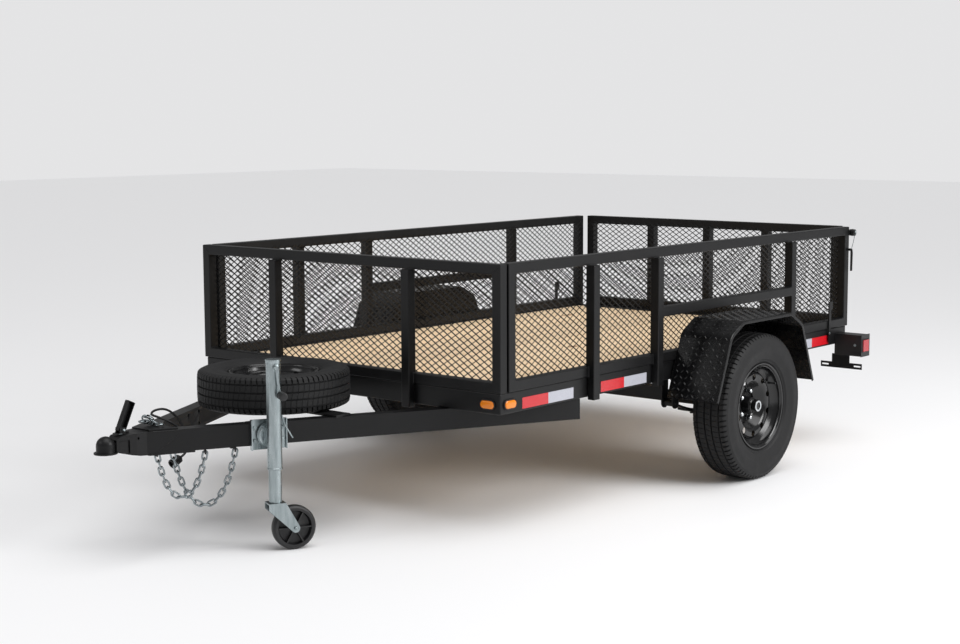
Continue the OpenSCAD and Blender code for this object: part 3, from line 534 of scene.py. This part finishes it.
# uprights, rails and cross members of the bed, in bed millimetres
wallSet = {"uprights": (516, 936, 1958), "tube": 38, "half": 770, "proud": 24, "bottom": 504, "top": 956,
           "latchRail": 687, "frontUprights": (-345, 345),
           "gateUprights": (-324, 0, 324), "members": (330, 690, 1060, 1414, 1768, 2130)}


def makeWelds(s):
    beads, gateBeads, t, half, top, bottom = Shape(), Shape(), s["tube"], s["half"], s["top"], s["bottom"]

    def bead(start, end, radius=2.6):
        weldBead(beads, bed(*start), bed(*end), radius)

    for side in (-1, 1):
        face = side * half
        for y in s["uprights"]:
            for edge in (y - 0.5, y + t + 0.5):
                bead((face, edge, bottom + 3), (face, edge, bottom + t - 3))
            bead((face + side, y + 4, top - t), (face + side, y + t - 4, top - t))
        for y in (s["uprights"][1] + t, s["uprights"][2]):
            for z in (s["latchRail"], s["latchRail"] + t):
                bead((side * (half + s["proud"] - 3), y, z), (side * (half - 10), y, z), 2)
        for y in (0, t):
            bead((side * (half - 34), y, top - 34), (side * (half - 4), y, top - 4), 1.8)
    for x in s["frontUprights"]:
        for edge in (x - t / 2, x + t / 2):
            bead((edge, 0, bottom + 3), (edge, 0, bottom + t - 3))
        bead((x - 15, -2, top - t), (x + 15, -2, top - t))
    for y in s["members"]:
        for side in (-1, 1):
            bead((side * 725, y, 436), (side * 725, y, 460), 2.4)
    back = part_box("tailgate")[0].y + t * mm
    for x in s["gateUprights"]:
        for z in (top - t, bottom + 4 + t):
            weldBead(gateBeads, ((x - 15) * mm, back, z * mm), ((x + 15) * mm, back, z * mm), 2.2)
    beads.piece("frame_welds", "root", blackCoat, "powder_coat", 50)
    gateBeads.piece("gate_welds", "tailgate", blackCoat, "powder_coat", 50)


makeWelds(wallSet)

sillSet = {"half": 712, "back": 2506.1, "thick": 3, "low": 497, "high": 511}


def makeRearSill(s):
    # a strip on the rear rail, in front of the gate, that closes the slit under it
    low, high = (-s["half"], s["back"], s["low"]), (s["half"], s["back"] + s["thick"], s["high"])
    Shape().block(bed(*low), bed(*high)).piece("rear_sill", "root", blackCoat, "powder_coat", None, 0.8)


makeRearSill(sillSet)


def makeDeckScrews(s):
    # two countersunk screws for each board over each cross member
    low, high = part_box("deck_boards")
    screws = Shape()
    pitch = (high.x - low.x + 3 * mm) / 8
    for i in range(8):
        for y in s["members"]:
            for share in (0.22, 0.78):
                place = Matrix.Translation((low.x + pitch * (i + share),
                                            bed(0, y + 21, 0).y, high.z - 0.6 * mm))
                screws.lathe([(0, 4.6), (0.8, 4.4), (0.9, 1.6), (0.2, 1.2)], place, 12)
    screws.piece("deck_screws", "root", zinc, "zinc", 40)


makeDeckScrews(wallSet)

tapeSet = {"block": 150, "low": 436, "high": 476, "out": 764.25, "thick": 0.5,
           "runs": ((129, "rw"), (600, "rw"), (2044, "wr"))}


def makeTape(s):
    # blocks of reflective tape on the side rails, red first or white first
    red, white = Shape(), Shape()
    for side in (-1, 1):
        for start, order in s["runs"]:
            for i, letter in enumerate(order):
                y = start + i * s["block"]
                a = bed(side * s["out"], y, s["low"])
                b = bed(side * (s["out"] + s["thick"]), y + s["block"], s["high"])
                low = [min(a[k], b[k]) for k in range(3)]
                high = [max(a[k], b[k]) for k in range(3)]
                (red if letter == "r" else white).block(low, high)
    red.piece("tape_red", "root", redTape, "red_lens", None, 0.15)
    white.piece("tape_white", "root", whiteTape, "zinc", None, 0.15)


makeTape(tapeSet)


print("lights")


# levels of the lamps are (reach, out); the oval is stretched sideways
lightSet = {"markerHigh": 462, "markerBack": 57, "markerOut": 709, "stretch": 16,
            "grommet": ((19, 0.2), (19, 3), (18, 5.4), (16, 6.2), (14.6, 5.4), (14.4, 4)),
            "lens": ((14.2, 1), (14.2, 6), (13.4, 8), (11, 9.2), (6, 9.8))}


def makeLights(s):
    coatNode("tail_lenses", redAcrylic)
    # each amber lamp: a domed oval lens in a black rubber grommet
    lens, grommet = Shape(), Shape()
    frameLow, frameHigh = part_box("main_frame")
    z = bed(0, 0, s["markerHigh"]).z
    up = Vector((0, 0, 1))
    lamps = [((side, 0, 0), (side * frameHigh.x, bed(0, s["markerBack"], 0).y, z)) for side in (-1, 1)]
    lamps += [((0, -1, 0), (side * s["markerOut"] * mm, frameLow.y, z)) for side in (-1, 1)]
    for way, centre in lamps:
        along = up.cross(Vector(way))
        turn = Matrix.Translation(centre) @ Matrix((along, up, Vector(way))).transposed().to_4x4()
        for shape, levels in ((grommet, s["grommet"]), (lens, s["lens"])):
            shape.skin([[(((s["stretch"] if math.cos(a) > 0 else -s["stretch"]) + reach * math.cos(a)) * mm,
                          reach * math.sin(a) * mm, out * mm) for a in arc(0, 10, 36)]
                        for reach, out in levels], turn)
    made = lens.piece("marker_lenses", "root", amberAcrylic, "amber_lens", 50)
    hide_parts("marker_lights")
    grommet.piece("marker_grommets", "root", cableRubber, "plastic", 40)
    # studs on the boxes, and the bezel of each side lens
    studs, bezel = Shape(), Shape()
    low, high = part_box("light_boxes")
    for side in (-1, 1):
        stud = (side * (high.x - 32 * mm), low.y, low.z + 52 * mm)
        studs.hexBolt(facing(stud, (0, -1, 0)), 5.5, 9)
        front, back, foot, top = low.y + 9 * mm, low.y + 65 * mm, low.z + 21 * mm, high.z - 21 * mm
        ring = [(side * high.x, y, z) for y, z in ((front, foot), (back, foot), (back, top), (front, top))]
        for a, b in zip(ring, ring[1:] + ring[:1]):
            bezel.rod(a, b, 2.2, 8)
    studs.piece("light_studs", "root", zinc, "zinc", 30)
    bezel.piece("lens_bezels", "root", blackAbs, "plastic", 40)


makeLights(lightSet)


print("wheels")

treadSet = {"pitches": 84, "depth": 7.0, "sipe": 3.5}


def tyreProfile(width, radius, bead):
    # (across, radius, how deep the cross cuts reach) from the inner bead over the tread to the outer bead
    half = []
    mid = (bead + radius) / 2
    for a, r in ((0.36, bead), (0.36, bead + 13), (0.40, bead + 17), (0.405, bead + 21), (0.44, bead + 27),
                 (0.47, mid - 14), (0.49, mid - 6), (0.50, mid + 2), (0.50, mid + 12), (0.494, mid + 20),
                 (0.485, radius - 26), (0.487, radius - 24), (0.478, radius - 20), (0.462, radius - 15)):
        half.append((a * width, r, 0))
    half += [(0.452 * width, radius - 12, 0.6), (0.435 * width, radius - 7, 1),
             (0.41 * width, radius - 3.6, 1), (0.345 * width, radius - 1.8, 1)]
    for left, right in ((0.32, 0.275), (0.115, 0.07)):
        drop = 0.9 if left > 0.2 else 0.2
        half += [(left * width, radius - drop, 0.7 if left > 0.2 else 0.5),
                 ((left - 0.008) * width, radius - treadSet["depth"], 0),
                 ((right + 0.008) * width, radius - treadSet["depth"], 0),
                 (right * width, radius - drop * 0.8, 0.5)]
        if left > 0.2:
            half.append((0.2 * width, radius - 0.4, 0.5))
    half.append((0.0, radius, 0.4))
    return [(-a, r, c) for a, r, c in half] + [(a, r, c) for a, r, c in reversed(half[:-1])]


def makeTyre(name, node, body, place, width, radius, bead):
    # moulded tread: four ring grooves, skewed cross cuts, smooth side walls with two raised bands
    profile = tyreProfile(width, radius, bead)
    inner = [(width * 0.29, bead), (width * 0.33, bead + 22), (width * 0.41, (bead + radius) / 2),
             (width * 0.36, radius - 16), (0, radius - 13)]
    inner = inner + [(-a, r) for a, r in reversed(inner[:-1])]
    stations = [(k + share, deep) for k in range(treadSet["pitches"])
                for share, deep in ((0, 0), (0.7, 0), (0.77, 1), (0.93, 1))]
    points, faces, n = [], [], len(profile) + len(inner)
    for share, deep in stations:
        for a, r, cut in profile:
            skew = 0.22 * math.sin(a / width * math.pi * 2) * treadSet["pitches"] / 84
            angle = 2 * math.pi * (share + (skew if cut else 0)) / treadSet["pitches"]
            reach = r - deep * cut * (treadSet["depth"] if abs(a) > 0.33 * width else treadSet["sipe"])
            points.append((reach * mm * math.cos(angle), reach * mm * math.sin(angle), a * mm))
        for a, r in inner:
            angle = 2 * math.pi * share / treadSet["pitches"]
            points.append((r * mm * math.cos(angle), r * mm * math.sin(angle), a * mm))
    count = len(stations)
    for k in range(count):
        a, b = k * n, (k + 1) % count * n
        for i in range(n):
            j = (i + 1) % n
            faces.append((a + i, b + i, b + j, a + j))
    made = Shape().add(points, faces, place).piece(name, body, tyreRubber, "tyre", 28)
    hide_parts(node)


rimSet = {"holes": 10, "holeRing": 115, "holeRadius": 12.5, "seat": 0.36}


def drilled(obj, cutters):
    # cut a group of closed cutters out of a piece, then drop the cutters
    cut = bpy.data.objects.new("cutters", cutters)
    bpy.context.scene.collection.objects.link(cut)
    tool = obj.modifiers.new("drill", "BOOLEAN")
    tool.operation, tool.object, tool.solver = "DIFFERENCE", cut, "EXACT"
    mesh = bpy.data.meshes.new_from_object(obj.evaluated_get(bpy.context.evaluated_depsgraph_get()))
    obj.modifiers.clear()
    obj.data = mesh
    bpy.data.objects.remove(cut)


def makeRim(name, node, body, place, width, bead, face, s):
    # place: the wheel's middle, Z outwards; face: where the disc bolts to the hub, from the middle
    lip, well = s["seat"] * width, bead - 26
    shape = Shape()
    outer = [(lip + 3, bead + 11), (lip + 6, bead + 9), (lip + 6, bead + 4), (lip, bead - 1),
             (lip - 16, bead - 3), (lip - 22, bead - 10), (lip - 36, well), (-lip + 30, well),
             (-lip + 16, bead - 10), (-lip + 12, bead - 3), (-lip, bead - 1),
             (-lip - 6, bead + 4), (-lip - 6, bead + 9), (-lip - 3, bead + 11)]
    inner = [(-lip - 2, bead + 8), (-lip - 3, bead + 3), (-lip + 2, bead - 4), (-lip + 14, bead - 7),
             (-lip + 18, bead - 14), (-lip + 32, well - 3), (lip - 38, well - 3), (lip - 25, bead - 14),
             (lip - 18, bead - 7), (lip - 2, bead - 4), (lip + 3, bead + 3), (lip + 2, bead + 8)]
    shape.lathe(outer + inner, place, 72, closed=True)
    shape.piece(name + "_well", body, rimCoat, "rim", 40)
    front = [(face, 34), (face, 72), (face + 5, 79), (face + 34, 92), (face + 42, 101), (face + 44, 112),
             (face + 43, 126), (face + 37, 133), (face + 20, well - 1)]
    disc = Shape().lathe(front + [(h - 3.5, r) for h, r in reversed(front)], place, 80, closed=True)
    disc = disc.piece(name + "_disc", body, rimCoat, "rim", 35)
    holes = Shape()
    for k in range(s["holes"]):
        holes.lathe([(face + 12, s["holeRadius"]), (face + 65, s["holeRadius"])],
                    around(place, 2 * math.pi * (k + 0.5) / s["holes"], s["holeRing"]), 20)
    cutters = bpy.data.meshes.new("cutters")
    cutters.from_pydata([tuple(v) for v in holes.points], [], holes.faces)
    drilled(disc, cutters)
    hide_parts(node)


wheelSet = {"axle": 1414, "radius": 296, "track": 905,
            "width": 165, "bead": 165, "stud": 57.15, "face": 893}


def makeRoadWheel(side, s):
    label = "left" if side > 0 else "right"
    body = label + "_wheel"
    centre = facing(bed(side * s["track"], s["axle"], s["radius"]), (side, 0, 0))
    makeTyre(label + "_tyre_tread", label + "_tyre", body, centre, s["width"], s["radius"], s["bead"])
    makeRim(label + "_rim", label + "_rim", body, centre,
            s["width"], s["bead"], s["face"] - s["track"], rimSet)
    face = facing(bed(side * s["face"], s["axle"], s["radius"]), (side, 0, 0))
    hub, nuts, cap, ring = Shape(), Shape(), Shape(), Shape()
    hub.lathe([(-70, 17.05), (-70, 36), (-66, 40), (-14, 40), (-10, 44), (-10, 71), (-9, 72), (-1, 72),
               (0, 71), (0, 36), (3, 33.4), (38, 32.6), (40, 31), (40, 17.05)], face, 48, closed=True)
    cap.lathe([(39, 28), (42, 28.6), (43.5, 27), (45, 25.4), (60, 25), (64, 23.6), (65, 21), (65, 14),
               (62.5, 13), (62.5, 0.3)], face, 40)
    ring.lathe([(64.5, 23), (66.4, 22), (66.8, 19), (66.2, 15), (63, 14), (63, 23)], face, 40, closed=True)
    for k in range(5):
        spin = around(face, 2 * math.pi * k / 5, s["stud"])
        hub.lathe([(-8, 6.3), (6, 6.3)], spin, 14)
        # conical seat, hexagon and domed end of each nut
        nuts.lathe([(0, 7.2), (3, 9.6), (3.6, 10.2)], spin, 20)
        nuts.lathe([(3.4, 10), (19, 10), (20.4, 8.8)], spin, 6)
        nuts.lathe([(19, 8.8), (22, 8), (24.4, 5.6), (25.4, 2.8), (25.6, 0.3)], spin, 18)
    hub = hub.piece(label + "_hub_casting", body, blackCoat, "powder_coat", 35)
    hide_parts(label + "_hub")
    cap.piece(label + "_hub_cap", body, rimCoat, "powder_coat", 35)
    ring.piece(label + "_cap_ring", body, brightSteel, "zinc", 35)
    nuts.piece(label + "_lug_nuts", body, brightSteel, "zinc", 28)
    # rubber valve stem through the rim's well
    valve = Shape().lathe([(0, 5), (4, 5.4), (10, 4), (26, 3.6), (27, 3.2), (27.2, 4.2), (35, 4), (36, 3)],
                          around(centre, math.radians(36), 136, 32), 16)
    valve.piece(label + "_valve", body, cableRubber, "plastic", 40)


for side in (-1, 1):
    makeRoadWheel(side, wheelSet)

spareSet = {"y": -345, "width": 138, "radius": 274, "bead": 152, "bottom": 436}


def makeSpare(s):
    centre = bed(0, s["y"], s["bottom"] + s["width"] / 2)
    makeTyre("spare_tyre_tread", "spare_tyre", "root",
             facing(centre, (0, 0, 1)), s["width"], s["radius"], s["bead"])
    makeRim("spare_rim", "spare_rim", "root", facing(centre, (0, 0, 1)), s["width"], s["bead"], -12, rimSet)


makeSpare(spareSet)


print("fenders")

fenderSet = {"corners": ((-378, 362), (-279, 611), (-186, 662), (186, 662), (279, 611), (378, 362)),
             "axle": 1414, "inner": 770, "outer": 1000, "bend": 62, "plate": 3,
             "lip": 14, "skirt": 428, "pitch": 24.0, "lug": (9.0, 2.6, 1.9)}


def bentPath(corners, radius, steps=7):
    # the side view with each corner replaced by an arc
    path = [corners[0]]
    for a, b, c in zip(corners, corners[1:], corners[2:]):
        before = (Vector(a) - Vector(b)).normalized()
        after = (Vector(c) - Vector(b)).normalized()
        half = before.angle(after) / 2
        reach = radius / math.tan(half)
        start, end = Vector(b) + before * reach, Vector(b) + after * reach
        middle = Vector(b) + (before + after).normalized() * (radius / math.sin(half))
        for k in range(steps + 1):
            ray = (start - middle).lerp(end - middle, k / steps).normalized()
            path.append(tuple(middle + ray * radius))
    return path + [corners[-1]]


def makeFender(side, node, s):
    path = [Vector(p) for p in bentPath(s["corners"], s["bend"])]
    ways = [(path[min(i + 1, len(path) - 1)] - path[max(i - 1, 0)]).normalized() for i in range(len(path))]

    def at(i, inward, x):
        up = Vector((-ways[i].y, ways[i].x))
        point = path[i] - up * inward
        return bed(side * x, s["axle"] + point.x, point.y)

    # section across the plate: over the top, down the lip, and back underneath
    edge, t = s["outer"], s["plate"]
    section = [(0, s["inner"]), (0, edge - 4), (0.6, edge - 1.4), (2, edge - 0.3), (4, edge),
               (s["lip"], edge), (s["lip"], edge - t), (t + 3, edge - t),
               (t + 1, edge - t - 1), (t, edge - t - 3), (t, s["inner"])]
    plate = Shape().skin([[at(i, inward, x) for inward, x in section] for i in range(len(path))])
    # the skirt closes the side against the bed, down to the frame's underside
    inside = [at(i, t * 0.5, 0) for i in range(len(path))]
    skirt = [(p.y, p.z) for p in inside if p.z > s["skirt"] * mm]
    for first, after in ((0, 1), (-1, -2)):
        (y0, z0), (y1, z1) = skirt[first], skirt[after]
        foot = (y0 + (y1 - y0) * (s["skirt"] * mm - z0) / (z1 - z0), s["skirt"] * mm)
        skirt = skirt + [foot] if first else [foot] + skirt
    m = len(skirt)
    layers = [(side * x * mm, y, z) for x in (s["inner"], s["inner"] + t) for y, z in skirt]
    plate.add(layers, [list(range(m)), list(reversed(range(m, 2 * m)))]
              + [(k, k + m, (k + 1) % m + m, (k + 1) % m) for k in range(m)])
    made = plate.piece(node + "_plate", "root", fenderCoat, "fender", 30)
    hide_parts(node)
    # rolled lugs, turned a quarter from one to the next
    longWay, wide, high = (v * mm for v in s["lug"])
    lengths = [0]
    for a, b in zip(path, path[1:]):
        lengths.append(lengths[-1] + (b - a).length)
    steps = int(lengths[-1] / s["pitch"])
    columns = int((s["outer"] - s["inner"] - 10) / s["pitch"])
    lugs = Shape()
    for i in range(steps):
        along = (i + 0.5) * lengths[-1] / steps
        k = max(j for j in range(len(path) - 1) if lengths[j] <= along)
        flat = (path[k + 1] - path[k]).normalized()
        spotAt = path[k] + flat * (along - lengths[k])
        way, normal = Vector((0, flat.x, flat.y)), Vector((0, -flat.y, flat.x))
        for j in range(columns):
            x = side * (s["inner"] + 7 + (j + 0.5) * (s["outer"] - s["inner"] - 16) / columns)
            centre = bed(x, s["axle"] + spotAt.x, spotAt.y) + normal * 0.1 * mm
            turn = math.radians(45 if (i + j) % 2 else -45)
            u3 = Vector((math.cos(turn), 0, 0)) + way * math.sin(turn)
            v3 = Vector((-math.sin(turn), 0, 0)) + way * math.cos(turn)
            ring = [centre + u3 * longWay * math.cos(a) + v3 * wide * math.sin(a)
                    for a in (math.pi / 4 * q for q in range(8))]
            crest = [centre + normal * high + u3 * longWay * 0.55 * c for c in (-1, 1)]
            lugs.add(ring + crest, [(0, 1, 9), (1, 2, 9), (2, 8, 9), (2, 3, 8), (3, 4, 8), (4, 5, 8),
                                    (5, 6, 8), (6, 9, 8), (6, 7, 9), (7, 0, 9), (7, 6, 5, 4, 3, 2, 1, 0)])
    lugs.piece(node + "_lugs", "root", fenderCoat, "fender", 60)


makeFender(1, "left_fender", fenderSet)
makeFender(-1, "right_fender", fenderSet)


print("tongue and jack")

tongueSet = {"tip": 38, "length": 965, "tail": 470, "frameX": 764}
railAngle = math.atan((tongueSet["frameX"] - tongueSet["tip"]) / (tongueSet["length"] + tongueSet["tail"]))


def onRail(out, along, up):
    # from the tip of the left rail's outer face: outwards, rearwards, above the floor
    s, c = math.sin(railAngle), math.cos(railAngle)
    return bed(tongueSet["tip"] + along * s + out * c, -tongueSet["length"] + along * c - out * s, up)


outward = (onRail(1, 0, 0) - onRail(0, 0, 0)).normalized()
for node in ("safety_chains", "axle", "leaf_springs", "spring_clamps", "plate_bracket"):
    coatNode(node, chainZinc if node == "safety_chains" else blackCoat)


hookSet = {"hooks": ((-19, 0.4), (20, -0.7)), "back": -889, "high": 440, "bend": 12, "eye": 7, "wire": 3.1,
           "links": 3}


def makeHooks(s):
    # two forged slip hooks with sprung latches, laid on the top plate
    hooks = Shape()

    def at(place, x, y, z):
        return place @ (Vector((x, y, z)) * mm)

    for x, turn in s["hooks"]:
        place = Matrix.Translation(bed(x, s["back"], s["high"])) @ Matrix.Rotation(turn, 4, "Z")
        bend = [at(place, s["bend"] * math.cos(a), s["bend"] * math.sin(a), 1.5 * math.sin(2 * a))
                for a in arc(-150, 12, 25)]
        hooks.tube([at(place, -14, -19, 6)] + bend, lambda t: 4.6 - 2.0 * t)
        eye = place @ Matrix.Translation((-15 * mm, -24 * mm, 9 * mm)) @ Matrix.Rotation(0.8, 4, "X")
        hooks.tube([at(eye, s["eye"] * math.cos(a), s["eye"] * math.sin(a), 0)
                    for a in arc(0, 20, 19)], 3, 8, False)
        hooks.tube([at(place, -12, -12, 3), at(place, -2, -4, 4), at(place, -6, 11, 2)], 1.4, 8)
        # the last links of the chain, heaped behind the eye
        for k in range(s["links"]):
            link = place @ Matrix.Translation(((9 * k - 18) * mm, (3 * k - 36) * mm, (7 * k + 12) * mm))
            link = link @ Matrix.Rotation(1.3 * k, 4, "X") @ Matrix.Rotation(0.5 * k, 4, "Z")
            ring = [at(link, 8 * math.cos(a), (6 if math.sin(a) >= 0 else -6) + 7 * math.sin(a), 0)
                    for a in arc(0, 15, 25)]
            hooks.tube(ring, s["wire"], 8, False)
    made = hooks.piece("slip_hooks", "root", chainZinc, "zinc", 50)
    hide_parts("chain_hooks")


makeHooks(hookSet)


# along the bed, half width, underside and top of the pressed channel behind the ball housing
channelSet = {"stations": ((-1074, 21, 372, 402), (-1062, 23, 369, 412), (-1040, 27, 363, 422),
                           (-1015, 32, 356, 427), (-985, 37, 350, 429), (-955, 40, 348, 429.5)),
              "soft": 5, "boss": (33, -1004, 400)}


def makeCouplerChannel(s):
    soft, rings = s["soft"], []
    for y, half, low, high in s["stations"]:
        section = [(half, high - soft), (half - 1.5, high - 1.5), (half - soft, high)]
        section = [(-half, low), (half, low)] + section + [(-x, z) for x, z in reversed(section)]
        rings.append([bed(x, y, z) for x, z in section])
    channel = Shape().skin(rings)
    out, back, up = s["boss"]
    for side in (-1, 1):
        channel.lathe([(0, 3), (0, 8), (1.4, 7.6), (1.8, 6), (1.8, 3)],
                      facing(bed(side * out, back, up), (side, 0.18, 0)), 20, closed=True)
    channel.piece("coupler_channel", "root", blackCoat, "powder_coat", 45)


makeCouplerChannel(channelSet)


boltSet = {"plate": ((15, -883), (15, -817), (-30, -916), (30, -916)),
           "plateUnder": 346, "pivot": (-1036, 442)}


def makeTongueBolts(s):
    bolts = Shape()
    for x, y in s["plate"]:
        bolts.hexBolt(facing(bed(x, y, s["plateUnder"]), (0, 0, -1)), 8, 8)
    bolts.hexBolt(facing(onRail(-25, 300, 352), (0, 0, -1)), 9, 6)
    bolts.hexBolt(facing(bed(0, -1012, 428.5), (0, 0, 1)), 6.5)
    weldBead(bolts, onRail(5, 10, 427), onRail(5, 118, 427), 2.6)
    weldBead(bolts, onRail(2, 34, 356), onRail(2, 112, 412), 3)
    bolts.piece("tongue_bolts", "root", blackCoat, "powder_coat", 35)
    # latch pivot and safety pin of the coupler
    pins = Shape()
    back = spot("coupler_latch").y
    pins.rod(bed(-20, *s["pivot"]), bed(20, *s["pivot"]), 4.2)
    pins.tube([(x * mm, back - y * mm, z * mm) for x, y, z in (
        (-19, 6, 437), (-19, 24, 433), (-12, 34, 428), (10, 36, 429), (19, 26, 431))], 1.6, 8)
    pins.piece("coupler_pins", "root", zinc, "zinc", 45)


makeTongueBolts(boltSet)

jackSet = {"along": 420, "off": 76, "tube": 25.4, "bottom": 281, "top": 652, "pivot": 390, "crank": 630,
           "foot": 11, "mountLong": 126, "mountThick": 7,
           "fork": 168, "wheel": 76, "trail": 62, "tread": 42}


def makeJack(s):
    off, tube, pivot, crank, foot = s["off"], s["tube"], s["pivot"], s["crank"], s["foot"]

    def at(out, along, up):
        return onRail(out, s["along"] + along, up)

    softenNode("jack_mount", "root", zinc, 1.0)
    for node in ("jack_tube", "jack_inner", "caster_fork"):
        coatNode(node, zinc)
    # bolt heads on the mount, all on the fixed side
    fixed = Shape()
    for y in (14 - s["mountLong"] / 2, s["mountLong"] / 2 - 14):
        for z in (-22, 22):
            fixed.hexBolt(facing(at(s["mountThick"], y, pivot + z), outward), 8, 7)
    fixed.piece("jack_mount_bolts", "root", zinc, "zinc", 30)
    # on the swivelling side: plate ring, welds, pull pin with its bent lever, cap and collar
    moving = Shape()
    swivel = facing(at(s["mountThick"] + 16.6, 0, pivot), outward)
    moving.lathe([(0, 40), (3, 40), (4, 37), (4, 31), (0, 30)], swivel, 40, closed=True)
    for along in (-26 * 0.86, 26 * 0.86):
        weldBead(moving, at(off - 16, along, pivot - 30), at(off - 16, along, pivot + 30), 2.4)
    moving.rod(at(30, 34, pivot + 34), at(62, 34, pivot + 34), 5)
    lever = ((60, 34, 34), (70, 34, 40), (74, 30, 66),
             (74, 28, 72), (76, 38, 40), (78, 58, 4), (78, 64, -6))
    moving.tube(smoothRoute([at(out, along, pivot + up) for out, along, up in lever]), 2.6, 8)
    # the cap is a hollow cup, so that the leg can slide right up
    moving.lathe([(-9, 25.5), (-9, 26.6), (-8, 27), (2.6, 27), (3.8, 25.6), (4, 9), (3.4, 0.2), (0.6, 0.2),
                  (0.6, 25.5)], facing(at(off, 0, s["top"]), (0, 0, 1)), 40, closed=True)
    moving.lathe([(0, 25.8), (1, 26.8), (5, 26.8), (6, 25.8)],
                 facing(at(off, 0, s["bottom"]), (0, 0, 1)), 40, closed=True)
    moving.piece("jack_tube_fittings", "jack_outer", zinc, "zinc", 40)
    # crank: boss, bent bar and a ribbed grip
    bar, grip = Shape(), Shape()
    bar.lathe([(0, 11), (5, 11), (6, 9), (12, 8.4), (14, 7)], facing(at(off + tube, 0, crank), outward), 24)
    bend = ((6, 0, 0), (9, 1, -6), (10, foot * 0.4, -36),
            (10, foot * 0.9, -80), (12, foot, -89), (20, foot, -91))
    bar.tube(smoothRoute([at(off + tube + out, along, crank + up) for out, along, up in bend], 5), 5, 12)
    profile = [(0, 10), (1, 13)]
    for k in range(7):
        profile += [(2 + 5 * k, 14), (5 + 5 * k, 14), (5.6 + 5 * k, 12.8), (6.4 + 5 * k, 12.8)]
    profile += [(38, 14), (41, 13.4), (42, 11), (42, 4)]
    grip.lathe(profile, facing(at(off + tube + 17, foot, crank - 91), outward), 28)
    bar = bar.piece("crank_bar", "jack_outer", zinc, "zinc", 40)
    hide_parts("jack_crank")
    grip.piece("crank_grip", "jack_outer", blackAbs, "plastic", 35)
    # caster: bearing ring, axle bolt and a ribbed nylon wheel
    caster = Shape()
    caster.lathe([(-13, 20), (-12, 24), (-7, 24), (-6, 20)],
                 facing(at(off, 0, s["fork"] + 6), (0, 0, 1)), 32)
    for way in (-1, 1):
        caster.hexBolt(facing(at(off + way * 28, s["trail"], s["wheel"]), outward * way), 7, 6)
    caster.piece("caster_bolts", "jack_caster", zinc, "zinc", 35)
    hub = facing(at(off, s["trail"], s["wheel"]), outward)
    half, r = s["tread"] / 2, s["wheel"]
    right = [(half - 14, r), (half - 10, r - 0.6), (half - 5, r - 3), (half - 2, r - 8), (half - 3, r - 17),
             (8, r - 19), (4, r - 22), (4, 22), (6, 18.5), (half, 17), (half + 2, 15), (half + 2, 6.2)]
    wheel = Shape().lathe([(-h, q) for h, q in reversed(right)] + right, hub, 72, closed=True)
    for k in range(6):
        rib = hub @ Matrix.Rotation(math.pi / 3 * k, 4, "Z")
        for way in (-1, 1):
            slope = [(16, 3), (r - 18, 3), (r - 18, half - 3), (16, half - 1)]
            points = [(x * mm, y * mm, way * z * mm) for y in (-2.2, 2.2) for x, z in slope]
            wheel.add(points, [(0, 1, 2, 3), (7, 6, 5, 4), (0, 4, 5, 1),
                               (1, 5, 6, 2), (2, 6, 7, 3), (3, 7, 4, 0)], rib)
    made = wheel.piece("caster_moulding", "jack_wheel", wheelNylon, "plastic", 35)
    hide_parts("caster_wheel")


makeJack(jackSet)


print("latches")


latchSet = {"out": 770, "back": 16, "down": 27, "screw": (2332, 486)}


def makeLatches(s):
    # spring bolts behind the rear posts, each with a lanyard down to its bent handle
    steel, black = Shape(), Shape()
    top, back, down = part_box("left_wall")[1], s["back"], s["down"]
    for side in (-1, 1):
        def at(x, y, z):
            return Vector((side * (s["out"] + x) * mm, top.y + y * mm, top.z - z * mm))
        black.lathe([(0, 11), (2, 16), (9, 16), (11, 12), (18, 9), (20, 6)],
                    facing(at(2, back, down), (side, 0, 0)), 28)
        steel.rod(at(-4, back, down), at(24, back, down), 4.5)
        steel.tube([at(20 + 5 * math.cos(a), back, down + 9 * math.sin(a))
                    for a in arc(0, 22.5, 17)], 1.3, 8)
        steel.tube(smoothRoute([at(19, 15, 35), at(18, 10, 60), at(17, 0, 84), at(16, -6, 100)], 4), 1.4, 8)
        handle = ((0, 104), (10, 103), (16, 110), (17, 130), (16, 200))
        black.tube(smoothRoute([at(x, -6, z) for x, z in handle], 5), 5.2, 12)
        screw = Vector((side * (s["out"] + 6.3) * mm, bed(0, s["screw"][0], 0).y, s["screw"][1] * mm))
        steel.hexBolt(facing(screw, (side, 0, 0)), 5, 3)
    steel.piece("latch_pins", "root", zinc, "zinc", 40)
    black.piece("latch_bodies", "root", blackCoat, "powder_coat", 40)


makeLatches(latchSet)

print("done")
